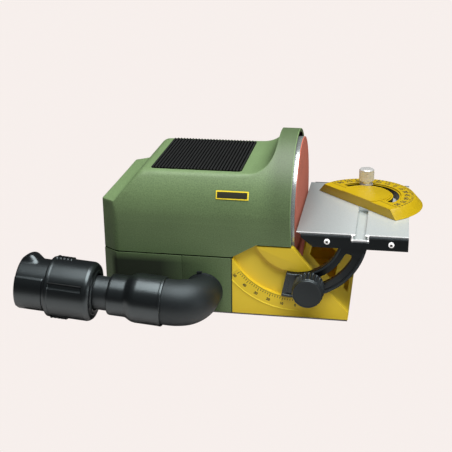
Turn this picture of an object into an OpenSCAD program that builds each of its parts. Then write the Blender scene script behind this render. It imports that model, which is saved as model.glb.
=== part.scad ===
// Benchtop disc sander with a tilting table, a mitre gauge and a dust elbow.
// Working frame: x runs along the spindle towards the table, with zero just in front of
// the hood, y runs away from the clamp side, and z is up from the bench. The last step
// moves the middle of the whole part's footprint to the origin.

/* [Disc] */
// Diameter of the sanding disc
disc_d = 125; // [100:1:140]
// Thickness of the aluminium disc
disc_t = 6; // [4:0.5:9]
// Thickness of the abrasive sheet
sheet_t = 0.8; // [0.4:0.1:1.5]
// Distance of the sanding face in front of the zero plane
face_out = 1.2; // [0.5:0.1:1.5]
// Height of the spindle axis above the bench
axis_z = 87.5; // [84:0.5:96]
// Diameter of the motor shaft
shaft_d = 8; // [6:0.5:10]

/* [Housing] */
// Radial gap between the disc and the hood
hood_gap = 4.5; // [3:0.5:8]
// Thickness of the moulded walls
wall = 3; // [2:0.5:4]
// Length from the zero plane back to the rear wall
housing_l = 177; // [165:1:200]
// Height of the flat top above the spindle axis
top_rise = 43.5; // [38:0.5:48]
// Height of the rear wall above the spindle axis
deck_foot_rise = 16.5; // [10:0.5:22]
// Length of the level shelf along the rear
shelf_l = 14; // [10:1:18]
// Length of the slope from the shelf up to the top
deck_run = 21; // [16:1:30]
// Length of the corner bevel along the side wall
corner_run = 14; // [8:1:18]
// Depth of the corner bevel across the rear wall
corner_in = 10; // [6:1:14]
// Width of the band of the hood
hood_band = 18.3; // [14:0.1:20]
// Distance of the hood's front edge behind the zero plane
hood_back = 1.5; // [0.5:0.5:3]
// Radius of the flare between the flat top and the hood
flare_r = 24; // [16:0.5:26]
// Height of the joint between the upper and lower housing
parting_z = 55; // [48:1:58]
// Length of the ribbed vent along the top
vent_l = 84; // [60:1:90]
// Width of the ribbed vent across the top
vent_w = 99.5; // [70:0.5:102]
// Number of ribs in the vent
vent_ribs = 28; // [16:1:36]

/* [Chute base] */
// Length of the base in front of the zero plane
chute_front = 51; // [46:1:58]
// Length of the base behind the zero plane
chute_back = 55; // [50:1:62]
// Drop of the base's top edge below the spindle axis
chute_drop = 19.5; // [18:0.5:21]
// Height of the base's upright front toe
toe_z = 8; // [6:0.5:12]
// Thickness of the side panels that carry the arc grooves
panel_t = 7; // [6:0.5:9]
// Depth of the arc grooves
groove_d = 4; // [3:0.25:5]
// Width of the opening in the ramp
mouth_w = 76; // [50:1:90]
// Height of the rubber feet
foot_h = 1.2; // [1:0.1:3]

/* [Table] */
// Length of the table away from the disc
table_l = 98; // [80:1:110]
// Distance of the table's inner edge from the zero plane
table_gap = 3; // [2.5:0.5:4]
// Drop of the table's top below the spindle axis
table_drop = 2.5; // [1:0.5:5]
// Thickness of the table plate
plate_t = 4; // [3:0.25:5]
// Width of the mouth of the T-slot
slot_mouth = 9; // [7:0.5:10]
// Width of the T-slot below its lips
slot_w = 12.6; // [11:0.2:14]
// Depth of the T-slot
slot_depth = 4.8; // [4.4:0.2:6]
// Thickness of the lips of the T-slot
slot_lip = 1.6; // [1.2:0.2:2]
// Distance of the T-slot from the table's inner edge
slot_x = 56.2; // [40:0.2:64]
// Height of the bracket plates on the table's ends
bracket_h = 11.6; // [10.6:0.2:12.4]
// Thickness of the bracket plates
bracket_t = 4; // [3:0.25:6]
// Middle radius of the tilt quadrant
quadrant_r = 51.8; // [48:0.2:54]
// Width of the tilt quadrant
quadrant_w = 23.6; // [20:0.2:26]
// Width of the quadrant's slot
quadrant_slot = 7; // [6.6:0.2:9]
// Tilt of the table down from level, in degrees
tilt_down = 50; // [30:1:50]
// Tilt of the table up from level, in degrees
tilt_up = 10; // [5:1:12]

/* [Clamp] */
// Diameter of the clamp knob
knob_d = 27; // [22:0.5:32]
// Height of the clamp knob
knob_h = 20; // [14:0.5:24]
// Number of flutes round the knob
knob_flutes = 24; // [12:1:30]
// Diameter of the clamp stud
stud_d = 6; // [4:0.5:6]

/* [Mitre gauge] */
// Radius of the protractor head at the table
head_r = 54.5; // [48:0.5:58]
// Radius of the protractor head at its top
head_top_r = 47; // [42:0.5:47]
// Height of the protractor head
head_h = 8.5; // [7:0.5:12]
// Distance of the fence face from the pivot
fence_in = 11.4; // [8:0.2:16]
// Radius of the arc slot
arc_r = 29.5; // [27:0.5:31]
// Distance of the pivot from the middle of the table
pivot_y = 15; // [0:1:20]
// Angle of the fence to the slot, in degrees
fence_angle = 45; // [0:1:60]
// Swing of the head to each side, in degrees
head_swing = 75; // [45:1:75]
// Diameter of the thumb screw's head
thumb_d = 14.6; // [12:0.2:16]

/* [Dust outlet] */
// Outside diameter of the elbow
elbow_d = 41.4; // [36:0.2:42]
// Bend radius of the elbow's middle line
bend_r = 25; // [23:0.5:27]
// Distance of the outlet's middle line from the housing wall
outlet_out = 33.5; // [32:0.5:44]
// Rise of the outlet, in degrees
outlet_rise = 4.4; // [0:0.1:6]
// Diameter of the coupling tube
tube_d = 30.8; // [26:0.2:32]
// Diameter of the coupling collar
collar_d = 54; // [50:0.5:58]
// Length of the coupling collar
collar_l = 42.5; // [36:0.5:52]
// Diameter of the hose cuff
cuff_d = 47.6; // [44:0.2:48]
// Bore of the hose cuff
cuff_bore = 40; // [36:0.5:41]

/* [Hidden] */
$fn = 96;

// One overrun serves every cut
over = 1;
// Running gap between moving faces
run_gap = 0.3;
// Gap between pieces that slip over each other
slip_gap = 0.15;
// Radial gap of a shaft in its bore
fit_gap = 0.05;

disc_r = disc_d / 2;
hood_r = disc_r + hood_gap + wall;
top_z = axis_z + top_rise;
rear_x = -housing_l;
deck_foot_z = axis_z + deck_foot_rise;
shelf_x = rear_x + shelf_l;
deck_top_x = shelf_x + deck_run;
deck_angle = atan2(top_z - deck_foot_z, deck_run);
hood_front_x = -hood_back;
hood_rear_x = hood_front_x - hood_band;
bulkhead_front_x = hood_rear_x + wall;
bulkhead_rear_x = hood_rear_x;
base_step = 0.5;
base_hw = hood_r - base_step;
base_in_hw = base_hw - panel_t;
chute_top_z = axis_z - chute_drop;
notch_lean = 1.7;
notch_x = -chute_back + (chute_top_z - parting_z) * notch_lean;
floor_t = 3;
floor_z = foot_h + floor_t;
hub_hole_r = 17;

// Vent on the flat top, centred over the motor
vent_shift = -1.6;
vent_mid_x = (deck_top_x + hood_rear_x - flare_r) / 2 - vent_shift;
vent_proud = 1.2;
vent_deep = 2;
vent_gap = 0.2;
rib_share = 0.55;
vent_bar_h = 1.6;
vent_bars = 4;

// Table frame
table_x = table_gap;
table_z = axis_z - table_drop;
table_hd = hood_r;
pivot_x = table_x + slot_x;
plate_end_x = table_x + table_l;
slot_floor_t = 1.4;
slot_side_t = 1.6;
screw_port_r = 4;
screw_port_drop = 6.6;
screw_r = 1.5;
port_in_share = 0.28;
port_out_share = 0.85;
ports_x = [table_x + table_l * port_in_share, table_x + table_l * port_out_share];
ports_z = table_z - screw_port_drop;
bracket_top_gap = 0.8;
bracket_in = 4.2;
bracket_lean = 10.7;

// Quadrant: polar angles are about the tilt axis, zero along the level table
ring_in = quadrant_r - quadrant_w / 2;
ring_out = quadrant_r + quadrant_w / 2;
ring_gap = 1;
stud_lead = 14.6;
stud_angle = stud_lead - 90;
slot_low = stud_angle - tilt_up;
slot_high = stud_angle + tilt_down;
ring_end_margin = 16.1;
ring_low = slot_low - ring_end_margin;
ring_high = -10;
slot_off = 0.8;
slot_r = quadrant_r - slot_off;
stud_x = table_x + slot_r * cos(stud_angle);
stud_z = table_z + slot_r * sin(stud_angle);
ring_proud = 3;
ring_outer_y = base_hw + ring_proud;
ring_inner_y = base_hw - groove_d + run_gap;
ring_rim = 3;
ring_dish = 1.2;
insert_r = 4.5;
insert_l = 8;
boss_r = 7.5;
washer_t = 1;
washer_r = 8;
guide_head_h = 3;
guide_head_r = 7;

// Ramp between the side panels
ramp_inset = 1.5;
ramp_lip_x = 8;
mouth_top_x = 12;
mouth_low_x = 36;
slit_x = 44;
slit_l = 4;
slit_w = 26;
ramp_fall = (chute_top_z - toe_z) / chute_front;
ramp_stretch = sqrt(1 + ramp_fall * ramp_fall);

// Dust outlet
port_x = -81.5;
port_z = 21.5;
elbow_wall = 2.5;
elbow_r = elbow_d / 2;
wall_y = -hood_r;
outlet_y = wall_y - outlet_out;
spigot_step = 5.3;
spigot_r = elbow_r - spigot_step;
spigot_in = 14;
flange_t = 2.5;
flange_out = 2;
duct_r = 16;
duct_y = -38;
duct_wall = 1.6;
duct_end_x = port_x - elbow_r;
socket_r = spigot_r + slip_gap + duct_wall;
lug_w = 4;
lug_h = 1.3;
elbow_tail = 10;
elbow_neck = 1;
elbow_end = bend_r + elbow_tail;
sleeve_lap = 6;
sleeve_start = elbow_end - sleeve_lap;
sleeve_l = 50;
sleeve_big_l = 28.5;
sleeve_cone = 4.5;
sleeve_wall = 2.2;
sleeve_rim = 3.2;
sleeve_skin = 1.75;
sleeve_small_r = tube_d / 2 + slip_gap + sleeve_rim;
sleeve_end = sleeve_start + sleeve_l;
tube_in = 10;
tube_out = 32;
collar_r = collar_d / 2;
tube_bare = 12.5;
collar_start = sleeve_end + tube_bare;
collar_end = collar_start + collar_l;
collar_wall = 2.7;
collar_lip = 8;
collar_round = 5;
cuff_r = cuff_d / 2;
cuff_back = 4;
cuff_start = collar_start + collar_lip + cuff_back;
cuff_out = 28;
cuff_end = collar_end + cuff_out;
cuff_seat = 8;
cuff_mouth_l = 37.5;
cuff_edge = 1;

// Gauge
gauge_gap = 0.3;
head_z = table_z + gauge_gap;
rail_neck_gap = 0.2;
rail_low = 15;
rail_high = 45;
pin_r = 3;
pin_up = 5;
arc_w = 6;
arc_pit_w = 9;
arc_pit_d = 1;
arc_end_extra = 3;
thumb_y = pivot_y + arc_r;
thumb_shank_r = 2.4;
thumb_neck_r = 5.4;
thumb_neck_h = 2.6;
thumb_head_h = 12;
thumb_washer_r = 6.4;
thumb_washer_t = 1;
thumb_washer_z = head_z + head_h + slip_gap;

// Footprint box of the whole part, to bring its middle to the origin
box_low_x = port_x - cuff_end * cos(outlet_rise) - (cuff_r - cuff_edge) * sin(outlet_rise);
box_high_x = max(pivot_x + head_r, plate_end_x);
box_low_y = outlet_y - collar_r;
box_high_y = ring_outer_y + washer_t + guide_head_h;
box_mid_x = (box_low_x + box_high_x) / 2;
box_mid_y = (box_low_y + box_high_y) / 2;

// Placing helpers

module at_origin() {
    translate([-box_mid_x, -box_mid_y, 0]) children();
}

// Carries an outline drawn in y and z along x
module along_x(x0, x1) {
    translate([x0, 0, 0]) rotate([90, 0, 90]) linear_extrude(x1 - x0) children();
}

// Carries an outline drawn in x and z along y
module along_y(y0, y1) {
    translate([0, y1, 0]) rotate([90, 0, 0]) linear_extrude(y1 - y0) children();
}

// Carries an outline drawn in x and y along z
module along_z(z0, z1) {
    translate([0, 0, z0]) linear_extrude(z1 - z0) children();
}

module rod_x(r, x0, x1, y, z) {
    translate([x0, y, z]) rotate([0, 90, 0]) cylinder(r = r, h = x1 - x0);
}

module rod_y(r, y0, y1, x, z) {
    translate([x, y1, z]) rotate([90, 0, 0]) cylinder(r = r, h = y1 - y0);
}

module rod_z(r, z0, z1, x, y) {
    translate([x, y, z0]) cylinder(r = r, h = z1 - z0);
}

module block(low, high) {
    translate(low) cube(high - low);
}

// Turns a profile of [radius, x] about the spindle axis
module lathe_spindle() {
    translate([0, 0, axis_z]) rotate([0, 90, 0]) rotate_extrude() children();
}

// Mirrors a piece of the clamp side to the far side
module far_side() {
    mirror([0, 1, 0]) children();
}

module both_sides() {
    children();
    far_side() children();
}

// Housing

// Arch of the hood: a half circle on upright sides
module arch(inset) {
    translate([0, axis_z]) circle(r = hood_r - inset);
    translate([inset - hood_r, 0]) square([2 * (hood_r - inset), axis_z]);
}

// Side view of the casing's outside, with the flare up to the hood
module casing_side() {
    hood_over = axis_z + hood_r + over;
    flare_x = hood_rear_x - flare_r;
    flare_z = top_z + flare_r;
    difference() {
        polygon([[rear_x, 0], [rear_x, deck_foot_z], [shelf_x, deck_foot_z], [deck_top_x, top_z], [flare_x, top_z],
            [flare_x, flare_z], [hood_rear_x, flare_z], [hood_rear_x, hood_over], [hood_front_x, hood_over], [hood_front_x, 0]]);
        translate([flare_x, flare_z]) circle(r = flare_r);
    }
}

// Side view of the motor room, one wall inside the casing
module room_side() {
    turn_in = wall * tan(deck_angle / 2);
    polygon([[rear_x + wall, -over], [rear_x + wall, deck_foot_z - wall], [shelf_x + turn_in, deck_foot_z - wall],
        [deck_top_x + turn_in, top_z - wall], [bulkhead_rear_x, top_z - wall], [bulkhead_rear_x, -over]]);
}

// Top view of the casing with its bevelled rear corners
module casing_plan(inset, front_x) {
    hw = hood_r - inset;
    back_x = rear_x + inset;
    polygon([[back_x, corner_in - hw], [back_x + corner_run, -hw], [front_x, -hw],
        [front_x, hw], [back_x + corner_run, hw], [back_x, hw - corner_in]]);
}

// Region under the joint line: level, then rising to the top edge of the chute base
module below_parting() {
    polygon([[rear_x - over, -over], [rear_x - over, parting_z], [-chute_back, parting_z],
        [notch_x, chute_top_z], [over, chute_top_z], [over, -over]]);
}

module casing() {
    intersection() {
        along_x(rear_x - over, hood_front_x) arch(0);
        along_y(-hood_r - over, hood_r + over) casing_side();
        along_z(0, axis_z + hood_r + over) casing_plan(0, over);
    }
}

module motor_room() {
    intersection() {
        along_x(rear_x, bulkhead_rear_x) arch(wall);
        along_y(-hood_r, hood_r) room_side();
        along_z(-over, axis_z + hood_r) casing_plan(wall, bulkhead_rear_x + over);
    }
}

module upper_housing() {
    ledge = 2;
    color("darkolivegreen") at_origin() difference() {
        casing();
        motor_room();
        along_x(bulkhead_front_x, over) arch(wall);
        along_y(-hood_r - over, hood_r + over) below_parting();
        rod_x(hub_hole_r, bulkhead_rear_x - over, bulkhead_front_x + over, 0, axis_z);
        for (a = motor_screw_angles)
            rod_x(motor_screw_r + slip_gap, bulkhead_rear_x - over, bulkhead_front_x + over,
                motor_pcr * cos(a), axis_z + motor_pcr * sin(a));
        vent_window(vent_gap, top_z - vent_deep, top_z + over);
        vent_window(-ledge, top_z - wall - over, top_z + over);
        switch_hole();
        rod_x(dial_spindle_r + slip_gap, rear_x - over, rear_x + wall + over, dial_y, control_z);
    }
}

module vent_window(grow, z0, z1) {
    hl = vent_l / 2 + grow;
    hw = vent_w / 2 + grow;
    block([vent_mid_x - hl, -hw, z0], [vent_mid_x + hl, hw, z1]);
}

// Ribs across the top on bars that run under them
module vent_grille() {
    pitch = vent_l / vent_ribs;
    rib = pitch * rib_share;
    hw = vent_w / 2;
    bar_w = vent_bar_h * 2;
    low_z = top_z - vent_deep;
    color("#1c1e1f") at_origin() {
        for (i = [0 : vent_ribs - 1]) {
            x = vent_mid_x - vent_l / 2 + i * pitch + (pitch - rib) / 2;
            block([x, -hw, low_z + vent_bar_h / 2], [x + rib, hw, top_z + vent_proud]);
        }
        for (i = [0 : vent_bars - 1]) {
            y = -hw + i * (vent_w - bar_w) / (vent_bars - 1);
            block([vent_mid_x - vent_l / 2, y, low_z], [vent_mid_x + vent_l / 2, y + bar_w, low_z + vent_bar_h]);
        }
    }
}

module lower_housing() {
    seam_x = -102;
    seam_w = 0.8;
    seam_d = 0.5;
    color("darkolivegreen") at_origin() difference() {
        union() {
            difference() {
                along_z(foot_h, parting_z) casing_plan(0, -chute_back);
                along_z(0, parting_z + over) casing_plan(wall, -chute_back + over);
            }
            for (p = screw_posts) screw_post(p);
        }
        for (p = screw_posts) rod_z(post_bore_r, 0, parting_z + over, p.x, p.y);
        rod_y(port_hole_r, wall_y - over, wall_y + wall + over, port_x, port_z);
        rod_x(gland_r + slip_gap, rear_x - over, rear_x + wall + over, gland_y, gland_z);
        block([seam_x, wall_y - over, 0], [seam_x + seam_w, wall_y + seam_d, parting_z + over]);
    }
}
port_hole_r = spigot_r + slip_gap;

// Posts that take the screws between the housing halves
post_r = 5;
post_bore_r = 1.75;
post_in = 7;
post_lap = 1;
screw_posts = [for (x = [rear_x + corner_run + post_in, port_x - socket_r - post_r - post_in / 2])
    for (s = [-1, 1]) [x, s * (hood_r - wall - post_r + post_lap)]];

module screw_post(p) {
    rod_z(post_r, floor_z, parting_z, p.x, p.y);
}

module bottom_cover() {
    color("#2a2c2d") at_origin() difference() {
        along_z(foot_h, floor_z) casing_plan(wall + slip_gap, -chute_back - slip_gap);
        for (p = screw_posts) rod_z(post_bore_r, 0, floor_z + over, p.x, p.y);
        for (p = screw_posts) rod_z(screw_head_r + slip_gap, 0, foot_h + screw_head_h, p.x, p.y);
        for (p = rear_feet) rod_z(foot_stem_r + slip_gap, 0, floor_z + over, p.x, p.y);
    }
}

screw_head_r = 3.2;
screw_head_h = 1.8;
screw_shank_r = 1.6;
screw_up = 14;

module housing_screws() {
    color("silver") at_origin() for (p = screw_posts) {
        rod_z(screw_head_r, foot_h, foot_h + screw_head_h, p.x, p.y);
        rod_z(screw_shank_r, foot_h, floor_z + screw_up, p.x, p.y);
    }
}

// Rubber feet with stems pressed through the floor
foot_r = 8;
foot_stem_r = 3;
foot_in = 22;
rear_feet = [for (s = [-1, 1]) [rear_x + foot_in, s * (hood_r - foot_in)]];
front_feet = [for (s = [-1, 1]) [chute_front - foot_in, s * (hood_r - foot_in)]];

module rubber_feet() {
    color("#222222") at_origin() for (p = concat(rear_feet, front_feet)) {
        rod_z(foot_r, 0, foot_h, p.x, p.y);
        rod_z(foot_stem_r, 0, floor_z, p.x, p.y);
    }
}

// Bare plate on the side wall, in the place of a badge
plate_mid_x = -55.2;
plate_l = 29.6;
plate_h = 7.2;
plate_rise = 26.1;
plate_z = axis_z + plate_rise;
plate_face_t = 0.8;

module side_plate() {
    seat_y = -sqrt(pow(hood_r, 2) - pow(plate_z + plate_h / 2 - axis_z, 2));
    low_y = -sqrt(pow(hood_r, 2) - pow(plate_z - plate_h / 2 - axis_z, 2));
    hl = plate_l / 2;
    color("#2d2e22") at_origin() intersection() {
        block([plate_mid_x - hl, low_y - over, plate_z - plate_h / 2],
            [plate_mid_x + hl, seat_y + over, plate_z + plate_h / 2]);
        along_x(plate_mid_x - hl, plate_mid_x + hl) difference() {
            translate([0, axis_z]) circle(r = hood_r + plate_face_t);
            translate([0, axis_z]) circle(r = hood_r);
        }
    }
}

// Chute base

// Height of the ramp's line at x, lowered square to the line
function ramp_z(x, lower) = chute_top_z - ramp_fall * x - lower * ramp_stretch;

module panel_outline() {
    polygon([[-chute_back, foot_h], [-chute_back, parting_z], [notch_x, chute_top_z], [0, chute_top_z],
        [chute_front, toe_z], [chute_front, foot_h]]);
}

// Dust room: open above the ramp, and hollow under it
module dust_room() {
    under = ramp_inset + wall;
    end_x = min(chute_front - wall, (chute_top_z - floor_z - under * ramp_stretch) / ramp_fall);
    far_x = chute_front + over;
    polygon([[bulkhead_front_x, floor_z], [bulkhead_front_x, chute_top_z + over],
        [far_x, chute_top_z + over], [far_x, ramp_z(far_x, ramp_inset)],
        [ramp_lip_x, ramp_z(ramp_lip_x, ramp_inset)], [ramp_lip_x, ramp_z(ramp_lip_x, under)],
        [end_x, max(ramp_z(end_x, under), floor_z)], [end_x, floor_z]]);
}

module groove() {
    translate([table_x, table_z]) difference() {
        circle(r = ring_out + ring_gap);
        circle(r = ring_in - ring_gap / 2);
    }
}

module chute_base() {
    room_top = axis_z;
    color("gold") at_origin() difference() {
        union() {
            difference() {
                along_y(-base_hw, base_hw) panel_outline();
                along_y(-base_in_hw, base_in_hw) dust_room();
                block([-chute_back - over, -base_in_hw, floor_z], [bulkhead_rear_x, base_in_hw, room_top]);
            }
            both_sides() rod_y(boss_r, -base_in_hw - over, -base_in_hw + insert_l - over, stud_x, stud_z);
        }
        both_sides() along_y(-base_hw - over, groove_d - base_hw) groove();
        both_sides() rod_y(insert_r + fit_gap, -base_hw, insert_l - base_in_hw, stud_x, stud_z);
        block([mouth_top_x, -mouth_w / 2, floor_z], [mouth_low_x, mouth_w / 2, chute_top_z]);
        block([slit_x, -slit_w, floor_z], [slit_x + slit_l, slit_w, chute_top_z]);
        rod_x(duct_r + slip_gap, bulkhead_rear_x - over, bulkhead_front_x + over, duct_y, port_z);
        for (p = front_feet) rod_z(foot_stem_r + slip_gap, 0, floor_z + over, p.x, p.y);
    }
}

// Drive

motor_r = 30;
motor_wall = 2;
motor_l = 92;
plate_thick = 3;
motor_front_x = bulkhead_rear_x - plate_thick;
motor_rear_x = motor_front_x - motor_l;
bell_t = 7;
bearing_r = 11;
bearing_w = 7;
shaft_r = shaft_d / 2;
motor_pcr = 22;
motor_screw_r = 2;
motor_screw_angles = [45, 135, 225, 315];
magnet_t = 5;
magnet_gap = 0.6;
armature_l = 46;
armature_r = motor_r - motor_wall - magnet_t - magnet_gap;
armature_mid_x = (motor_front_x + motor_rear_x) / 2 - bell_t;
fan_w = 9;
fan_gap = 2;
fan_r = motor_r - motor_wall - fan_gap;
fan_blades = 9;
fan_x = motor_front_x - bearing_w - fan_w - motor_wall;

module motor_can() {
    color("#8a8d90") at_origin() difference() {
        rod_x(motor_r, motor_rear_x, motor_front_x, 0, axis_z);
        rod_x(motor_r - motor_wall, motor_rear_x - over, motor_front_x - bearing_w, 0, axis_z);
        rod_x(bearing_r + fit_gap, motor_front_x - bearing_w - over, motor_front_x + over, 0, axis_z);
        for (a = motor_screw_angles)
            rod_x(motor_screw_r + slip_gap, motor_front_x - bearing_w - over, motor_front_x + over,
                motor_pcr * cos(a), axis_z + motor_pcr * sin(a));
    }
}

module motor_end_bell() {
    lip = 3;
    color("#6f7377") at_origin() difference() {
        union() {
            rod_x(motor_r, motor_rear_x - bell_t, motor_rear_x, 0, axis_z);
            rod_x(motor_r - motor_wall - slip_gap, motor_rear_x - over, motor_rear_x + lip, 0, axis_z);
        }
        rod_x(bearing_r + fit_gap, motor_rear_x - bell_t - over, motor_rear_x + lip + over, 0, axis_z);
    }
}

// Two arc magnets inside the can
module motor_magnets() {
    gap_angle = 28;
    r1 = motor_r - motor_wall - fit_gap;
    color("#3a3a3c") at_origin() difference() {
        rod_x(r1, armature_mid_x - armature_l / 2, armature_mid_x + armature_l / 2, 0, axis_z);
        rod_x(r1 - magnet_t, armature_mid_x - armature_l, armature_mid_x + armature_l, 0, axis_z);
        translate([armature_mid_x, 0, axis_z]) for (s = [-1, 1])
            translate([-armature_l, s * r1 - r1 / 2, -r1 * sin(gap_angle / 2)])
                cube([2 * armature_l, r1, 2 * r1 * sin(gap_angle / 2)]);
    }
}

module motor_plate() {
    half = motor_r + 2 * motor_wall;
    color("lightgray") at_origin() difference() {
        block([motor_front_x, -half, axis_z - half], [bulkhead_rear_x, half, axis_z + half]);
        rod_x(hub_hole_r, motor_front_x - over, bulkhead_rear_x + over, 0, axis_z);
        for (a = motor_screw_angles)
            rod_x(motor_screw_r + slip_gap, motor_front_x - over, bulkhead_rear_x + over,
                motor_pcr * cos(a), axis_z + motor_pcr * sin(a));
    }
}

module motor_screws() {
    head_h = 2;
    color("silver") at_origin() for (a = motor_screw_angles) {
        y = motor_pcr * cos(a);
        z = axis_z + motor_pcr * sin(a);
        rod_x(motor_screw_r, motor_front_x - bearing_w, bulkhead_front_x + head_h, y, z);
        rod_x(2 * motor_screw_r, bulkhead_front_x, bulkhead_front_x + head_h, y, z);
    }
}

// Ball bearing drawn as its outer envelope, with a recess for the shield
module bearing(x0) {
    shield = 0.6;
    difference() {
        rod_x(bearing_r, x0, x0 + bearing_w, 0, axis_z);
        rod_x(shaft_r + fit_gap, x0 - over, x0 + bearing_w + over, 0, axis_z);
        for (x = [x0 - over, x0 + bearing_w - shield])
            difference() {
                rod_x(bearing_r - 2 * shield, x, x + over + shield, 0, axis_z);
                rod_x(shaft_r + 2 * shield, x - over, x + 2 * over + shield, 0, axis_z);
            }
    }
}

module front_bearing() {
    color("silver") at_origin() bearing(motor_front_x - bearing_w);
}

module rear_bearing() {
    color("silver") at_origin() bearing(motor_rear_x - bell_t + (bell_t - bearing_w) / 2);
}

module motor_shaft() {
    tail = 3;
    color("lightgray") at_origin()
        rod_x(shaft_r, motor_rear_x - bell_t - tail, disc_back_x, 0, axis_z);
}

// Slotted iron core
module armature() {
    slots = 12;
    slot_in = 4;
    slot_half = 1;
    x0 = armature_mid_x - armature_l / 2;
    color("#7a4a2a") at_origin() difference() {
        rod_x(armature_r, x0, x0 + armature_l, 0, axis_z);
        rod_x(shaft_r + fit_gap, x0 - over, x0 + armature_l + over, 0, axis_z);
        for (i = [0 : slots - 1])
            translate([0, 0, axis_z]) rotate([360 * i / slots, 0, 0])
                block([x0 - over, -slot_half, armature_r - slot_in],
                    [x0 + armature_l + over, slot_half, armature_r + over]);
    }
}

// Fan with straight blades on a back plate
module cooling_fan() {
    blade_t = 1.5;
    hub_r = shaft_r + 3 * blade_t;
    color("#303234") at_origin() difference() {
        union() {
            rod_x(hub_r, fan_x, fan_x + fan_w, 0, axis_z);
            rod_x(fan_r, fan_x, fan_x + blade_t, 0, axis_z);
            for (i = [0 : fan_blades - 1])
                translate([0, 0, axis_z]) rotate([360 * i / fan_blades, 0, 0])
                    block([fan_x + blade_t / 2, -blade_t / 2, hub_r - blade_t],
                        [fan_x + fan_w - blade_t, blade_t / 2, fan_r - blade_t]);
        }
        rod_x(shaft_r + fit_gap, fan_x - over, fan_x + fan_w + over, 0, axis_z);
    }
}

// Disc

hub_r = 13;
hub_l = 11;
grub_r = 2;
sheet_x = face_out - sheet_t;
disc_back_x = sheet_x - disc_t;

module sanding_disc() {
    back_x = disc_back_x;
    edge = 0.6;
    color("#d5d7d8") at_origin() difference() {
        lathe_spindle() polygon([[0, back_x - hub_l], [hub_r - edge, back_x - hub_l],
            [hub_r, back_x - hub_l + edge], [hub_r, back_x], [disc_r - edge, back_x],
            [disc_r, back_x + edge], [disc_r, sheet_x], [0, sheet_x]]);
        rod_x(shaft_r + fit_gap, back_x - hub_l - over, back_x + fit_gap, 0, axis_z);
        rod_z(grub_r + fit_gap, axis_z, axis_z + hub_r + over, back_x - hub_l / 2, 0);
    }
}

module abrasive_sheet() {
    color("#a5493c") at_origin() rod_x(disc_r, sheet_x, face_out, 0, axis_z);
}

module grub_screw() {
    color("#333333") at_origin()
        rod_z(grub_r, axis_z + shaft_r + fit_gap, axis_z + hub_r - grub_r, disc_back_x - hub_l / 2, 0);
}

// Controls on the rear wall

control_z = 80;
dial_y = -20;
dial_r = 9;
dial_h = 7;
dial_spindle_r = 3;
switch_y = 24;
switch_hw = 7;
switch_hh = 10.5;
switch_in = 13;
frame_lip = 1.5;
frame_t = 1.6;
rocker_hw = switch_hw - frame_t - run_gap;
rocker_hh = 7.6;
rocker_depth = 6;
rocker_proud = 3;
rocker_pin_r = 1.4;
rocker_angle = 8;

module switch_hole() {
    block([rear_x - over, switch_y - switch_hw - slip_gap, control_z - switch_hh - slip_gap],
        [rear_x + wall + over, switch_y + switch_hw + slip_gap, control_z + switch_hh + slip_gap]);
}

// Frame with a well for the rocker, open to the rear
module switch_frame() {
    back = rear_x + switch_in;
    well = rear_x + switch_in - frame_t;
    color("#26282a") at_origin() difference() {
        union() {
            block([rear_x - frame_lip, switch_y - switch_hw - frame_lip, control_z - switch_hh - frame_lip],
                [rear_x, switch_y + switch_hw + frame_lip, control_z + switch_hh + frame_lip]);
            block([rear_x - frame_lip, switch_y - switch_hw, control_z - switch_hh],
                [back, switch_y + switch_hw, control_z + switch_hh]);
        }
        block([rear_x - frame_lip - over, switch_y - switch_hw + frame_t, control_z - switch_hh + frame_t],
            [well, switch_y + switch_hw - frame_t, control_z + switch_hh - frame_t]);
        rod_y(rocker_pin_r + fit_gap, switch_y - switch_hw - over, switch_y + switch_hw + over,
            rear_x + rocker_depth, control_z);
    }
}

// Rocker with two flat faces that meet at the middle, turning on its own pin
module switch_rocker() {
    dip = rocker_hh * tan(rocker_angle);
    face = -rocker_depth - rocker_proud;
    side = rocker_pin_r - rocker_depth;
    tail = 2 * rocker_pin_r;
    color("#151617") at_origin() translate([rear_x + rocker_depth, switch_y, control_z])
        rotate([0, -rocker_angle, 0]) {
            along_y(-rocker_hw, rocker_hw) polygon([[face + dip, 0], [face, rocker_hh], [side, rocker_hh],
                [tail, rocker_pin_r], [tail, -rocker_pin_r], [side, -rocker_hh], [face, -rocker_hh]]);
            rod_y(rocker_pin_r, -switch_hw, switch_hw, 0, 0);
        }
}

// Fluted dial with a pointer ridge, on a spindle through the wall
module speed_dial() {
    flutes = 18;
    flute_r = 1.1;
    ridge = 1.2;
    face_x = rear_x - dial_h;
    color("#202224") at_origin() {
        difference() {
            rod_x(dial_r, face_x, rear_x - run_gap, dial_y, control_z);
            for (i = [0 : flutes - 1])
                rod_x(flute_r, face_x - over, rear_x + over, dial_y + dial_r * cos(360 * i / flutes),
                    control_z + dial_r * sin(360 * i / flutes));
        }
        block([face_x - ridge, dial_y - ridge / 2, control_z],
            [face_x + ridge, dial_y + ridge / 2, control_z + dial_r - 2 * ridge]);
        rod_x(dial_spindle_r, rear_x - over, rear_x + wall + dial_spindle_r, dial_y, control_z);
    }
}

module speed_pot() {
    half = 9;
    deep = 9;
    color("#4b6b4f") at_origin() difference() {
        rod_x(half, rear_x + wall, rear_x + wall + deep, dial_y, control_z);
        rod_x(dial_spindle_r + fit_gap, rear_x, rear_x + wall + dial_spindle_r + run_gap, dial_y, control_z);
    }
}

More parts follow.
